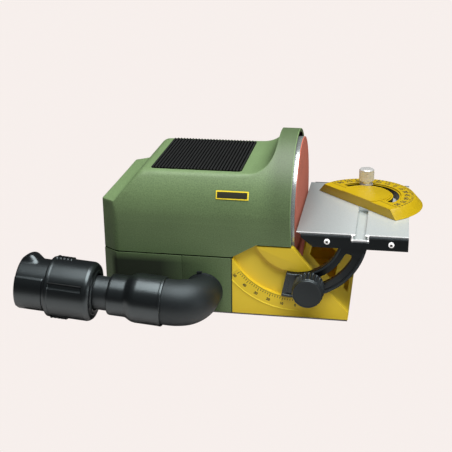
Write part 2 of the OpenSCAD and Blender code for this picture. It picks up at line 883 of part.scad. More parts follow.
// Board on two posts from the floor
module control_board() {
    post = 6;
    board_t = 1.6;
    board_l = 50;
    board_w = 38;
    cap_pitch = 7.2;
    z = floor_z + post;
    low = [rear_x + 2 * foot_in, 0, z];
    size = [board_l, board_w, board_t];
    color("#2f6b45") at_origin() {
        translate(low) cube(size);
        for (s = [0, 1]) rod_z(post / 2, floor_z, z, low.x + post + s * (size.x - 2 * post), low.y + size.y / 2);
        block(low + [post, post, board_t], low + [3 * post, 4 * post, 2 * post]);
        for (i = [0 : 2]) rod_z(post / 2, z, z + 2 * post, low.x + 5 * post + i * cap_pitch, low.y + 2 * post);
    }
}

gland_y = 36;
gland_z = 24;
gland_r = 6;
gland_bore_r = 3.4;

// Stepped bush in the rear wall that the mains lead would leave by
module cord_gland() {
    rim_t = 2;
    rim_r = gland_r + rim_t;
    tip_wall = 1;
    nose = 12;
    color("#1b1c1d") at_origin() translate([rear_x, gland_y, gland_z]) rotate([0, -90, 0]) rotate_extrude()
        polygon([[gland_bore_r, -wall - rim_t], [rim_r, -wall - rim_t], [rim_r, -wall], [gland_r, -wall],
            [gland_r, 0], [rim_r, 0], [rim_r, rim_t], [gland_r, rim_t], [gland_bore_r + tip_wall, nose],
            [gland_bore_r, nose]]);
}

// Dust outlet

// Pipe from the dust room to a socket behind the port
module dust_duct() {
    color("#34373a") at_origin() difference() {
        union() {
            rod_x(duct_r, duct_end_x, bulkhead_front_x, duct_y, port_z);
            rod_y(socket_r, wall_y + wall, duct_y, port_x, port_z);
        }
        rod_x(duct_r - duct_wall, duct_end_x + duct_wall, bulkhead_front_x + over, duct_y, port_z);
        rod_y(spigot_r + slip_gap, wall_y, wall_y + wall + spigot_in, port_x, port_z);
        rod_y(spigot_r - duct_wall, wall_y, duct_y, port_x, port_z);
    }
}

// Frame of the outlet: the port's axis is y, and the outlet leaves along minus x
module outlet_frame() {
    translate([port_x, 0, port_z]) rotate([0, outlet_rise, 0]) children();
}

// Turns a profile of [radius, way along the outlet]
module lathe_outlet() {
    translate([0, outlet_y, 0]) rotate([0, -90, 0]) rotate_extrude() children();
}

// Solid pipe of radius r along the elbow's middle line
module elbow_path(r, inner_y, end) {
    rod_y(r, outlet_y + bend_r, inner_y, 0, 0);
    translate([-bend_r, outlet_y + bend_r, 0]) rotate([0, 0, -90])
        rotate_extrude(angle = 90) translate([bend_r, 0]) circle(r = r);
    lathe_outlet() translate([0, bend_r]) square([r, end - bend_r]);
}

module dust_elbow() {
    inner_y = wall_y + spigot_in;
    neck_y = outlet_y + bend_r + elbow_neck;
    color("#26282b") at_origin() outlet_frame() difference() {
        union() {
            elbow_path(elbow_r, neck_y, elbow_end);
            translate([0, wall_y - flange_t, 0]) rotate([90, 0, 0])
                cylinder(r1 = spigot_r + flange_out, r2 = elbow_r, h = wall_y - flange_t - neck_y);
            rod_y(spigot_r + flange_out, wall_y - flange_t, wall_y, 0, 0);
            rod_y(spigot_r, wall_y - over, inner_y, 0, 0);
            block([-lug_w / 2, wall_y - flange_t, 0], [lug_w / 2, wall_y, spigot_r + flange_out + lug_h]);
        }
        elbow_path(spigot_r - elbow_wall, inner_y + over, elbow_end + over);
        elbow_path(elbow_r - elbow_wall, neck_y - elbow_neck / 2, elbow_end + over);
    }
}

// Stepped sleeve over the end of the elbow
module outlet_sleeve() {
    socket = elbow_r + slip_gap;
    big = socket + sleeve_skin;
    bore = tube_d / 2 + slip_gap;
    step = sleeve_start + sleeve_big_l;
    stop = elbow_end + slip_gap;
    edge = 1;
    color("#26282b") at_origin() outlet_frame() lathe_outlet()
        polygon([[socket, sleeve_start], [big - edge, sleeve_start], [big, sleeve_start + edge], [big, step],
            [sleeve_small_r + edge, step + sleeve_cone], [sleeve_small_r, step + sleeve_cone + edge],
            [sleeve_small_r, sleeve_end - edge], [sleeve_small_r - edge, sleeve_end], [bore, sleeve_end],
            [bore, sleeve_end - tube_in], [bore - sleeve_wall, sleeve_end - tube_in],
            [bore - sleeve_wall, stop + sleeve_cone], [socket - 2 * sleeve_wall, stop], [socket, stop]]);
}

module coupling_tube() {
    r = tube_d / 2;
    color("#26282b") at_origin() outlet_frame() lathe_outlet()
        translate([r - sleeve_wall, sleeve_end - tube_in]) square([sleeve_wall, tube_in + tube_out]);
}

// Collar that twists on the cuff, with a rounded shoulder and an open mouth
module coupling_collar() {
    seat = cuff_r + run_gap;
    mouth_gap = 1.6;
    mouth = tube_d / 2 + mouth_gap;
    lip_in = 2;
    tab_l = 15;
    tab_h = 1.5;
    tab_w = 14;
    tab_back = 3;
    tooth_w = 1.8;
    tooth_pitch = 3.4;
    teeth_gaps = 3;
    c = [collar_r - collar_round, collar_start + collar_round];
    color("#26282b") at_origin() outlet_frame() {
        lathe_outlet() difference() {
            union() {
                translate(c) circle(r = collar_round);
                polygon([[mouth, collar_start], [c.x, collar_start], [c.x, c.y], [collar_r, c.y],
                    [collar_r, collar_end], [seat, collar_end], [seat, collar_start + collar_lip], [mouth,
                    collar_start + collar_lip]]);
            }
            translate([mouth - over, collar_start - over]) square([lip_in + over, lip_in + over]);
        }
        for (s = [-1, 1]) translate([-collar_end + tab_back, outlet_y, 0]) rotate([s * 90 - 90, 0, 0])
            difference() {
                intersection() {
                    block([0, -tab_w / 2, collar_r - collar_wall / 2], [tab_l, tab_w / 2, collar_r + tab_h]);
                    rotate([0, 90, 0]) cylinder(r = collar_r + tab_h, h = tab_l);
                }
                for (i = [0 : teeth_gaps - 1]) translate([tooth_w + i * tooth_pitch, -tab_w, collar_r])
                    cube([tooth_pitch - tooth_w, 2 * tab_w, tab_h + over]);
            }
    }
}

// Cuff that takes the hose, with a seat for the tube and a round lug on top
module hose_cuff() {
    seat = tube_d / 2 + slip_gap;
    mouth = cuff_bore / 2;
    edge = cuff_edge;
    lug_r = 7.5;
    lug_hw = 9;
    lug_rise = 5;
    lug_up = cuff_r + lug_rise - lug_r;
    color("#222427") at_origin() outlet_frame() {
        lathe_outlet()
            polygon([[seat, cuff_start], [cuff_r - edge, cuff_start], [cuff_r, cuff_start + edge],
                [cuff_r, cuff_end - edge], [cuff_r - edge, cuff_end], [mouth, cuff_end],
                [mouth, cuff_end - cuff_mouth_l], [seat - edge, cuff_end - cuff_mouth_l],
                [seat - edge, cuff_start + cuff_seat], [seat, cuff_start + cuff_seat]]);
        difference() {
            rod_y(lug_r, outlet_y - lug_hw, outlet_y + lug_hw, lug_r + edge - cuff_end, lug_up);
            rod_x(cuff_r - edge, -cuff_end - over, 0, outlet_y, 0);
        }
    }
}

// Table

// Plate of the table, bevelled under its inner edge and turned down at its outer edge
module plate_section() {
    bevel = plate_t * tan(tilt_down + bevel_extra);
    edge_x = plate_end_x - edge_w;
    polygon([[table_x, table_z], [plate_end_x, table_z], [plate_end_x, table_z - plate_t - edge_drop],
        [edge_x, table_z - plate_t - edge_drop], [edge_x, table_z - plate_t],
        [table_x + bevel, table_z - plate_t]]);
}
bevel_extra = 3;
edge_w = 3;
edge_drop = 2.5;

// Extruded table: plate, T-slot channel and two screw ports
module table_plate() {
    chan_hw = slot_w / 2 + slot_side_t;
    chan_low = table_z - slot_depth - slot_floor_t;
    neck_share = 0.6;
    neck_hw = screw_port_r * neck_share;
    long = table_hd + over;
    color("#c9cccf") at_origin() difference() {
        union() {
            along_y(-table_hd, table_hd) plate_section();
            block([pivot_x - chan_hw, -table_hd, chan_low], [pivot_x + chan_hw, table_hd, table_z]);
            for (x = ports_x) {
                rod_y(screw_port_r, -table_hd, table_hd, x, ports_z);
                block([x - neck_hw, -table_hd, ports_z], [x + neck_hw, table_hd, table_z]);
            }
        }
        block([pivot_x - slot_mouth / 2, -long, table_z - slot_depth], [pivot_x + slot_mouth / 2, long, table_z + over]);
        block([pivot_x - slot_w / 2, -long, table_z - slot_depth], [pivot_x + slot_w / 2, long, table_z - slot_lip]);
        for (x = ports_x) rod_y(screw_r + fit_gap, -long, long, x, ports_z);
    }
}

// Sector of a ring about the tilt axis, for polar angles under a half turn
module ring_sector(r0, r1, a0, a1) {
    reach = 2 * r1;
    mid = (a0 + a1) / 2;
    translate([table_x, table_z]) intersection() {
        difference() {
            circle(r = r1);
            circle(r = r0);
        }
        polygon([[0, 0], reach * [cos(a0), sin(a0)], reach * [cos(mid), sin(mid)], reach * [cos(a1), sin(a1)]]);
    }
}

// Slot that follows the arc, with round ends
module arc_slot(r, w, a0, a1) {
    ring_sector(r - w / 2, r + w / 2, a0, a1);
    for (a = [a0, a1]) translate([table_x + r * cos(a), table_z + r * sin(a)]) circle(d = w - fit_gap);
}

module bracket_outline() {
    top = table_z - bracket_top_gap;
    low = table_z - bracket_top_gap - bracket_h;
    polygon([[table_x + bracket_in, top], [plate_end_x, top], [plate_end_x, low],
        [table_x + bracket_in + bracket_lean, low], [table_x + bracket_in, top - bracket_h / 4]]);
}

// Bracket plate with its arc, slotted for the clamp and dished between two rims
module quadrant() {
    notch_w = slot_w + 2 * slot_side_t + 2 * slip_gap;
    notch_low = table_z - slot_depth - slot_floor_t;
    difference() {
        union() {
            along_y(-table_hd - bracket_t, -table_hd) bracket_outline();
            along_y(-ring_outer_y, -ring_inner_y) ring_sector(ring_in, ring_out, ring_low, ring_high);
        }
        block([table_x, -table_hd - slip_gap, table_z - bracket_h - 2 * bracket_top_gap],
            [plate_end_x + over, over - ring_inner_y, table_z]);
        along_y(-ring_outer_y - bracket_t, -ring_inner_y + over) arc_slot(slot_r, quadrant_slot, slot_low, slot_high);
        along_y(-ring_outer_y - over, ring_dish - ring_outer_y)
            ring_sector(ring_in + ring_rim, ring_out - ring_rim, ring_low + dish_end, slot_high + dish_end);
        block([pivot_x - notch_w / 2, -table_hd - bracket_t - over, notch_low],
            [pivot_x + notch_w / 2, -table_hd + over, table_z]);
        for (x = ports_x) rod_y(screw_r + slip_gap, -table_hd - bracket_t - over, -table_hd + over, x, ports_z);
    }
}
dish_end = 4;

module near_quadrant() {
    color("#232527") at_origin() quadrant();
}

module far_quadrant() {
    color("#232527") at_origin() far_side() quadrant();
}

// Pan-head screws through the brackets into the table's screw ports
module bracket_screws() {
    head_r = 3.3;
    head_h = 1.8;
    shank = 12;
    out = table_hd + bracket_t;
    color("#e4e6e6") at_origin() both_sides() for (x = ports_x) {
        rod_y(screw_r, -out, shank - out, x, ports_z);
        rod_y(head_r, -out - head_h, -out, x, ports_z);
    }
}

// Clamp

knob_face_y = -ring_outer_y - washer_t - knob_h;

// Fluted knob with a plain rounded face
module clamp_knob() {
    r = knob_d / 2;
    neck_share = 0.62;
    neck_r = r * neck_share;
    neck_h = 4;
    shoulder = 1;
    cap = 1.2;
    flute_r = PI * knob_d / knob_flutes / 3;
    y1 = knob_face_y + knob_h;
    color("#1e2022") at_origin() translate([stud_x, y1, stud_z]) rotate([90, 0, 0]) difference() {
        rotate_extrude() polygon([[0, 0], [neck_r, 0], [neck_r, neck_h - shoulder], [r - shoulder, neck_h],
            [r, neck_h + shoulder],
            [r, knob_h - 2 * cap], [r - cap, knob_h - cap / 2], [r - 2 * cap, knob_h], [0, knob_h]]);
        for (i = [0 : knob_flutes - 1])
            rotate([0, 0, 360 * i / knob_flutes]) translate([r + flute_r / 3, 0, -over])
                cylinder(r = flute_r, h = knob_h + 2 * over);
        translate([0, 0, -over]) cylinder(d = stud_d + 2 * fit_gap, h = knob_h / 2 + over);
    }
}

// Stud from the knob through the slot into the panel's insert
module clamp_stud() {
    y1 = knob_face_y + knob_h;
    color("silver") at_origin() {
        rod_y(stud_d / 2, y1 - knob_h / 2, insert_l - base_in_hw - over, stud_x, stud_z);
        rod_y(washer_r, -ring_outer_y - washer_t + fit_gap, -ring_outer_y - fit_gap, stud_x, stud_z);
    }
}

module insert_body() {
    difference() {
        rod_y(insert_r, groove_d - base_hw + fit_gap, insert_l - base_in_hw - over, stud_x, stud_z);
        rod_y(stud_d / 2 + fit_gap, -base_hw, insert_l, stud_x, stud_z);
    }
}

module clamp_insert() {
    color("#b08d3f") at_origin() insert_body();
}

// Shouldered screw that guides the far arc
module guide_screw() {
    color("silver") at_origin() far_side() {
        rod_y(stud_d / 2, -ring_outer_y - washer_t, insert_l - base_in_hw - over, stud_x, stud_z);
        difference() {
            rod_y(guide_head_r, -ring_outer_y - washer_t - guide_head_h, -ring_outer_y - fit_gap, stud_x, stud_z);
            translate([stud_x, -ring_outer_y - guide_head_h + fit_gap, stud_z]) rotate([90, 0, 0])
                cylinder(d = stud_d, h = guide_head_h + over, $fn = 6);
        }
    }
}

module guide_insert() {
    color("#b08d3f") at_origin() far_side() insert_body();
}

// Mitre gauge

// T-shaped bar that slides in the table's slot
module gauge_rail() {
    flange_hw = slot_w / 2 - run_gap;
    neck_hw = slot_mouth / 2 - rail_neck_gap;
    low = table_z - slot_depth + run_gap;
    high = table_z - slot_lip - run_gap;
    y0 = pivot_y - rail_low;
    y1 = pivot_y + rail_high;
    color("#b9bdc0") at_origin() difference() {
        union() {
            block([pivot_x - flange_hw, y0, low], [pivot_x + flange_hw, y1, high]);
            block([pivot_x - neck_hw, y0, low], [pivot_x + neck_hw, y1, table_z]);
        }
        rod_z(pin_r + fit_gap, low + run_gap, table_z + over, pivot_x, pivot_y);
        rod_z(thumb_shank_r + fit_gap, low + run_gap, table_z + over, pivot_x, thumb_y);
    }
}

module gauge_pivot() {
    low = table_z - slot_depth + 2 * run_gap + fit_gap;
    color("silver") at_origin() rod_z(pin_r, low, head_z + pin_up, pivot_x, pivot_y);
}

// Outline of an arc slot in the head, about the pivot, with the fence's back along minus y
module head_arc(r, w, span) {
    reach = 2 * r;
    intersection() {
        difference() {
            circle(r = r + w / 2);
            circle(r = r - w / 2);
        }
        polygon([[0, 0], reach * [cos(90 - span), sin(90 - span)], reach * [cos(90 - span), 1],
            reach * [cos(90 + span), 1], reach * [cos(90 + span), sin(90 + span)]]);
    }
    for (s = [-1, 1]) translate(r * [cos(90 + s * span), sin(90 + s * span)]) circle(d = w - fit_gap);
}

// Half-round protractor: flared rim, upright fence face, arc slot in a shallow pit
module gauge_head() {
    pin_gap = fit_gap;
    span = head_swing + arc_end_extra;
    pad_in = 2;
    pad_r = arc_r - arc_pit_w / 2 - pad_in;
    pad_up = 0.6;
    color("#e0b81c") at_origin() translate([pivot_x, pivot_y, head_z]) rotate([0, 0, -fence_angle])
        difference() {
            union() {
                cylinder(r1 = head_r, r2 = head_top_r, h = head_h);
                cylinder(r = pad_r, h = head_h + pad_up);
            }
            block([-head_r - over, -head_r - over, -over], [head_r + over, -fence_in, head_h + pad_up + over]);
            translate([0, 0, -over]) linear_extrude(head_h + 2 * over) head_arc(arc_r, arc_w, span);
            translate([0, 0, head_h - arc_pit_d]) linear_extrude(arc_pit_d + over)
                head_arc(arc_r, arc_pit_w, span);
            translate([0, 0, -over]) cylinder(r = pin_r + pin_gap, h = pin_up + over + run_gap);
        }
}

// Knurled thumb screw, with a shank into the rail
module thumb_screw() {
    low = table_z - slot_depth + 2 * run_gap + fit_gap;
    seat = thumb_washer_z + thumb_washer_t + fit_gap;
    r = thumb_d / 2;
    edge = 0.8;
    color("#d9d9d2") at_origin() translate([pivot_x, thumb_y, 0]) rotate_extrude()
        polygon([[0, low], [thumb_shank_r, low], [thumb_shank_r, seat], [thumb_neck_r, seat],
            [thumb_neck_r, seat + thumb_neck_h], [r - edge, seat + thumb_neck_h],
            [r, seat + thumb_neck_h + edge], [r, seat + thumb_neck_h + thumb_head_h - edge],
            [r - edge, seat + thumb_neck_h + thumb_head_h], [0, seat + thumb_neck_h + thumb_head_h]]);
}

// Washer that bridges the slot and turns with the rail
module thumb_washer() {
    low = thumb_washer_z;
    high = thumb_washer_z + thumb_washer_t;
    color("silver") at_origin() difference() {
        rod_z(thumb_washer_r, low, high, pivot_x, thumb_y);
        rod_z(thumb_shank_r + fit_gap, low - over, high + over, pivot_x, thumb_y);
    }
}

upper_housing();
lower_housing();
chute_base();
bottom_cover();
rubber_feet();
vent_grille();
side_plate();
housing_screws();
motor_can();
motor_end_bell();
motor_magnets();
motor_plate();
motor_screws();
front_bearing();
rear_bearing();
motor_shaft();
armature();
cooling_fan();
sanding_disc();
abrasive_sheet();
grub_screw();
control_board();
switch_frame();
switch_rocker();
speed_dial();
speed_pot();
cord_gland();
dust_duct();
dust_elbow();
outlet_sleeve();
coupling_tube();
coupling_collar();
hose_cuff();
table_plate();
near_quadrant();
far_quadrant();
bracket_screws();
clamp_knob();
clamp_stud();
clamp_insert();
guide_screw();
guide_insert();
gauge_rail();
gauge_pivot();
gauge_head();
thumb_screw();
thumb_washer();
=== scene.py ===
"""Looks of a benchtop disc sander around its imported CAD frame.

All shapes are worked out in millimetres in the machine's frame: x along the spindle towards the
table, y away from the clamp knob, z up from the bench. to_row() brings them to the row frame.
"""

import functools

import bmesh
import bpy
import numpy as np
from bpy.props import FloatProperty, FloatVectorProperty, IntProperty, PointerProperty
from mathutils import Matrix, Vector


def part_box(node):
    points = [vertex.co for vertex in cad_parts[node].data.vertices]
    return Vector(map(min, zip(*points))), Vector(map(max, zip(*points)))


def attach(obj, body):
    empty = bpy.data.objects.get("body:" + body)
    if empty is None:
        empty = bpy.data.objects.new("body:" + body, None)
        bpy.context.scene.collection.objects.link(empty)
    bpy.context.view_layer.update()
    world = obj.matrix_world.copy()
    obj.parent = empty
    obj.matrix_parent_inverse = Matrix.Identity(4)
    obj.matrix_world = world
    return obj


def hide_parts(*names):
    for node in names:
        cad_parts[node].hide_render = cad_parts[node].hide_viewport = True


bl_info = {
    "name": "Disc sander looks",
    "version": (1, 0, 0),
    "blender": (4, 5, 0),
    "location": "View3D > Sidebar > Sander",
    "description": "Smooth pieces, finishes, scales and stage of a benchtop disc sander",
    "category": "Object",
}

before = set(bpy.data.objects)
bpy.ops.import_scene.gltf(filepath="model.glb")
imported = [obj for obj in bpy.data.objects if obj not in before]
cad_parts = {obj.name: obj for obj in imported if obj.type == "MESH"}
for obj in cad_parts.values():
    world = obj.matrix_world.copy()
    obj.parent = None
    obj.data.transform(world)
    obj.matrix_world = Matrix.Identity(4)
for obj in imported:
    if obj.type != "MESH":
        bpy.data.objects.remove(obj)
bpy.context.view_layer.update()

MM = 0.001
TAU = 2 * np.pi
X_WAY, Y_WAY, Z_WAY = np.eye(3)
BLACK = (0, 0, 0)

# The sheet's face stands this far past the origin of the machine's frame
FACE_OUT = 1.2
SHEET_LOW, SHEET_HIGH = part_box("abrasive_sheet")
ORIGIN = np.array([SHEET_HIGH.x / MM - FACE_OUT, (SHEET_LOW.y + SHEET_HIGH.y) / 2 / MM, 0.0])

# Casing: its arch has the half width as radius, and its rear corners are cut in plan
HALF_WIDTH, REAR_X, SHELF_X, BASE_X = 70.0, -177.0, -163.0, -55.0
CORNER_X, CORNER_Y = 14, 10
SEAM_Z, SEAM_GAP, SHELF_Z, ROOF_Z = 55, 1.3, 104, 131
# The last x is where the dark sheet of painted shade stands inside the hood
AXIS_Z, LIP_X, LIP_LEAN, SHADE_SHEET_X = 87.5, -2.8, 1.3, -16.7

# Base, table and tilt clamp
BASE_Y = -69.5
TILT_X, TILT_Z, TABLE_DEPTH = 3.0, 85.0, 98
STUD_X, STUD_Z = 15.856, 35.647

# Mitre gauge: pivot, foot and height of its head, turn of the fence, radius of the arc slot
PIVOT_X, PIVOT_Y, HEAD_Z = 59.2, 15.0, 85.3
HEAD_H, FENCE_TURN, ARC_R = 8.5, np.radians(-45), 29.5

# Dust outlet: where its bend stands, and the rise of its straight part
PORT = np.array([-81.5, -103.5, 21.5])
OUTLET_RISE = np.radians(4.4)
OUT_AXIS = np.array([-np.cos(OUTLET_RISE), 0, np.sin(OUTLET_RISE)])
OUT_UP = np.array([np.sin(OUTLET_RISE), 0, np.cos(OUTLET_RISE)])

# Printed marks: height over their face, and radii of the tilt scale's line, ticks, numbers and border
INK_LIFT = 0.06
SCALE_LINE, SCALE_TICKS, SCALE_TEXT, SCALE_EDGE = 65.6, 66.6, 72.6, 77.5

# Shared by the plastics: size of the slow mottling, and how far grain spreads the gloss
MOTTLE_MM, GLOSS_SPREAD = 40.0, 0.12

# Camera: place in the machine's frame, turns in radians, focal length and frame in pixels
EYE = (84.06, -873.22, 396.79)
YAW, PITCH, ROLL = 0.1776, 0.3636, -0.0092
FOCAL_PX, FRAME_PX, SENSOR_MM = 976.89, 452, 36


def to_row(points):
    """Millimetres in the machine's frame to metres in the row frame."""
    return (np.asarray(points, float) + ORIGIN) * MM


def node_box(node):
    """Low and high corner of a CAD node, in millimetres in the machine's frame."""
    return [np.array(corner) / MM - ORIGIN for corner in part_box(node)]


# Property groups: the sizes and colours that a user would change


def colour(label, about, value):
    return FloatVectorProperty(
        name=label, description=about, subtype="COLOR", size=3, min=0, max=1, default=value
    )


def number(label, about, value, low, high):
    return IntProperty(name=label, description=about, default=value, min=low, max=high)


def power(label, about, value):
    return FloatProperty(name=label, description=about, default=value, min=0, unit="POWER")


class SanderColours(bpy.types.PropertyGroup):
    """Colours of the finishes, as linear values."""

    green: colour("Casing green", "Moulded casing and hood", (0.132, 0.205, 0.088))
    yellow: colour("Base yellow", "Moulded chute base", (0.885, 0.645, 0.028))
    gauge: colour("Gauge yellow", "Protractor head", (0.415, 0.285, 0.003))
    black: colour("Black plastic", "Hose parts, brackets and knob", (0.007, 0.0085, 0.0095))
    grille: colour("Vent black", "Ribs of the vent", (0.010, 0.011, 0.011))
    abrasive: colour("Abrasive", "Sheet on the disc", (0.465, 0.136, 0.093))
    aluminium: colour("Aluminium", "Table and disc", (0.47, 0.51, 0.505))
    steel: colour("Bright steel", "Screws, shaft and thumb screw", (0.70, 0.70, 0.68))
    ink: colour("Scale ink", "Ticks and numbers", (0.03, 0.025, 0.015))
    backdrop: colour("Backdrop", "Floor and background", (0.93, 0.865, 0.84))


class SanderSizes(bpy.types.PropertyGroup):
    """The casing's edge in millimetres, counts of repeated detail, and powers of the lights."""

    casing_round: FloatProperty(
        name="Casing edge", description="Rounding of the casing's edges", default=5.0, min=1, max=9
    )
    vent_ribs: number("Vent ribs", "Ribs across the top vent", 28, 10, 40)
    flutes: number("Knob flutes", "Flutes round the clamp knob", 24, 8, 36)
    knurls: number("Knurls", "Ridges round the thumb screw", 48, 20, 90)
    key_power: power("Key light", "Power of the overhead light", 29.0)
    side_power: power("Side light", "Power of the light at the table's end", 0.8)
    fill_power: power("Fill light", "Power of the front light", 0.2)


# Shader maths


class Value:
    """A shader socket: an expression on it adds Math nodes to its finish."""

    def __init__(self, finish, socket):
        self.finish = finish
        self.socket = socket

    def math(self, operation, *others):
        return self.finish.node("ShaderNodeMath", self, *others, operation=operation)

    def __add__(self, other):
        return self.math("ADD", other)

    def __sub__(self, other):
        return self.math("SUBTRACT", other)

    def __rsub__(self, other):
        return self.finish.node("ShaderNodeMath", other, self, operation="SUBTRACT")

    def __mul__(self, other):
        return self.math("MULTIPLY", other)


class Finish:
    """A node material with one Principled shader."""

    def __init__(self, name):
        self.material = bpy.data.materials.new(name)
        self.material.use_nodes = True
        self.tree = self.material.node_tree
        self.shader = self.tree.nodes["Principled BSDF"]

    def node(self, kind, *values, out=0, **named):
        """Adds a node: values go to its sockets in order, names in lower case are its settings, and
        other names are sockets."""
        made = self.tree.nodes.new(kind)
        for index, value in enumerate(values):
            self.put(made.inputs[index], value)
        for key, value in named.items():
            if key.islower():
                setattr(made, key, value)
            else:
                self.put(made.inputs[key], value)
        return Value(self, made.outputs[out])

    def put(self, socket, value):
        if isinstance(value, Value):
            self.tree.links.new(value.socket, socket)
        else:
            socket.default_value = (*value, 1) if socket.type == "RGBA" else value

    def set(self, **sockets):
        for key, value in sockets.items():
            self.put(self.shader.inputs[key.replace("_", " ")], value)

    def place(self, scale=(1, 1, 1)):
        """Object coordinates in metres, stretched by a Mapping node."""
        coords = self.node("ShaderNodeTexCoord", out="Object")
        return self.node("ShaderNodeMapping", Vector=coords, Scale=scale)

    def part(self, where, axis):
        """One coordinate of a place."""
        return self.node("ShaderNodeSeparateXYZ", where, out=axis)

    def ramp(self, value, start, stop, low=0.0, high=1.0):
        """Low up to start, high from stop on, and a straight run between."""
        return self.node("ShaderNodeMapRange", value, start, stop, low, high)

    def fade(self, where, axis, start, stop, high=1.0):
        """A ramp between two places along an axis of the machine's frame, in millimetres."""
        start, stop = (float(to_row([place] * 3)[axis]) for place in (start, stop))
        return self.ramp(self.part(where, axis), start, stop, high=high)

    def noise(self, where, size_mm, detail=2.0, rough=0.5):
        """Noise whose features are about size_mm across, from 0 to 1."""
        scale = 1 / (size_mm * MM)
        return self.node("ShaderNodeTexNoise", Vector=where, Scale=scale, Detail=detail, Roughness=rough)

    def mix(self, factor, first, second):
        """Mixes two colours by a value."""
        made = self.tree.nodes.new("ShaderNodeMix")
        made.data_type = "RGBA"
        for index, value in ((0, factor), (6, first), (7, second)):
            self.put(made.inputs[index], value)
        return Value(self, made.outputs[2])

    def bump(self, height, depth_mm):
        return self.node("ShaderNodeBump", Height=height, Distance=depth_mm * MM, Strength=1.0)


def shade(tint, factor):
    return tuple(min(1.0, c * factor) for c in tint)


def moulded(name, tint, grain_mm, depth_mm, roughness, mottle=0.1, shine=0.5, glint=(1, 1, 1)):
    """Moulded plastic: spark-eroded grain in the bump, with slow mottling of colour and gloss."""
    f = Finish(name)
    where = f.place()
    grain = f.noise(where, grain_mm, 3.0, 0.6)
    slow = f.noise(where, MOTTLE_MM)
    tone = f.mix(grain * 0.5 + slow * 0.5, shade(tint, 1 - mottle), shade(tint, 1 + mottle))
    f.set(Base_Color=tone, Roughness=grain * GLOSS_SPREAD + (roughness - 0.06))
    f.set(Specular_IOR_Level=shine, Specular_Tint=glint, Normal=f.bump(grain, depth_mm))
    return f.material


def casing_plastic(name, tint, fades, amount, dull_in_shade, joint=None):
    """Grained casing plastic with painted shade: it darkens and dulls where all fades of (axis, from,
    to) have run, and at a joint between two places along x, as painted shade in its gap."""
    f = Finish(name)
    where = f.place()
    grain = f.noise(where, 1.1, 2.0, 0.6)
    slow = f.noise(where, MOTTLE_MM)
    # dark: share of painted shade, from the fades and from the joint's gap
    dark = amount
    for axis, start, stop in fades:
        dark = f.fade(where, axis, start, stop) * dark
    if joint is not None:
        dark = f.fade(where, 0, *joint, 0.9).math("MAXIMUM", dark)
    tone = f.mix(grain * 0.8 + slow * 0.2, shade(tint, 0.4), shade(tint, 1.6))
    f.set(Base_Color=f.mix(dark, tone, BLACK), Normal=f.bump(grain, 0.09))
    f.set(Roughness=grain * GLOSS_SPREAD + dark * dull_in_shade + 0.44)
    return f.material


def brushed(name, tint, metallic, roughness, streak, glow=0.0):
    """Metal with fine streaks: noise stretched along one direction drives tone, gloss and bump."""
    f = Finish(name)
    lines = f.noise(f.place(streak), 0.35, 3.0, 0.6)
    slow = f.noise(f.place(), 30.0)
    tone = f.mix(lines * 0.7 + slow * 0.3, shade(tint, 0.88), shade(tint, 1.1))
    f.set(Base_Color=tone, Roughness=lines * 0.16 + (roughness - 0.08))
    f.set(Metallic=metallic, Normal=f.bump(lines, 0.01))
    # Glow is painted light: it lifts the metal where no lamp lights it
    f.set(Emission_Color=tint, Emission_Strength=glow)
    return f.material


def table_top(name, tint):
    """Brushed table: streaks along the table, with painted shade darkening the tone towards the disc."""
    f = Finish(name)
    where = f.place()
    lines = f.noise(f.place((1, 12, 1)), 0.35, 3.0, 0.6)
    fine = f.noise(where, 1.2, 3.0, 0.7)
    # Painted shade: the darker tone near the disc gives way to the lit tone over 50 mm
    reach = f.fade(where, 0, TILT_X, TILT_X + 50)
    tone = f.mix(lines * 0.4 + fine * 0.6, shade(tint, 0.7), shade(tint, 1.26))
    dull_in_shade = f.mix(lines * 0.4 + fine * 0.6, shade(tint, 0.34), shade(tint, 0.66))
    f.set(Base_Color=f.mix(reach, dull_in_shade, tone), Roughness=lines * 0.16 + 0.34)
    f.set(Metallic=0.5, Normal=f.bump(lines, 0.01))
    return f.material


def grit(name, tint):
    """Abrasive grain: small cells in the bump, and uneven tone over a resin coat."""
    f = Finish(name)
    where = f.place()
    cells = f.node("ShaderNodeTexVoronoi", feature="F1", Vector=where, Scale=1 / (0.55 * MM))
    spread = f.noise(where, 0.8, 3.0, 0.65)
    cloud = f.noise(where, 22.0, 3.0)
    tone = spread * 0.6 + cloud * 0.4
    f.set(Base_Color=f.mix(tone, shade(tint, 0.66), shade(tint, 1.34)), Roughness=0.9)
    f.set(Specular_IOR_Level=0.25, Normal=f.bump(1 - cells, 0.22))
    return f.material


def plain_ink(name, tint):
    """Printed or engraved marks, slightly uneven."""
    f = Finish(name)
    wear = f.noise(f.place(), 0.6)
    f.set(Base_Color=f.mix(wear, shade(tint, 0.7), shade(tint, 1.5)), Roughness=wear * 0.2 + 0.5)
    return f.material


def protractor(name, tint):
    """Gauge plastic with painted shade: dark inside the arc slot, and darker along the fence towards the
    disc.
    """
    f = Finish(name)
    where = f.place()
    grain = f.noise(where, 1.1, 3.0, 0.6)
    pivot = to_row([PIVOT_X, PIVOT_Y, HEAD_Z + 7.2])
    x, y, z = (f.part(where, axis) - float(pivot[axis]) for axis in range(3))
    radius = (x * x + y * y).math("SQRT")
    half_slot = 3.6 * MM
    # Painted shade inside the arc slot
    slot = radius.math("COMPARE", ARC_R * MM, half_slot) * z.math("LESS_THAN", 0.0)
    slot = slot * (x + y).math("GREATER_THAN", 0.0)
    # Painted shade along the fence below the head's top, darker towards the disc
    along = f.ramp(x - y, -0.066, 0.02, 0.55)
    high = f.ramp(z, 0.0003, 0.001)
    tone = f.mix(grain, shade(tint, 0.95), shade(tint, 1.05))
    tone = f.mix(along.math("MAXIMUM", high), BLACK, tone)
    f.set(Base_Color=f.mix(slot, tone, shade(tint, 0.06)), Roughness=grain * GLOSS_SPREAD + 0.3)
    f.set(Normal=f.bump(grain, 0.015))
    return f.material


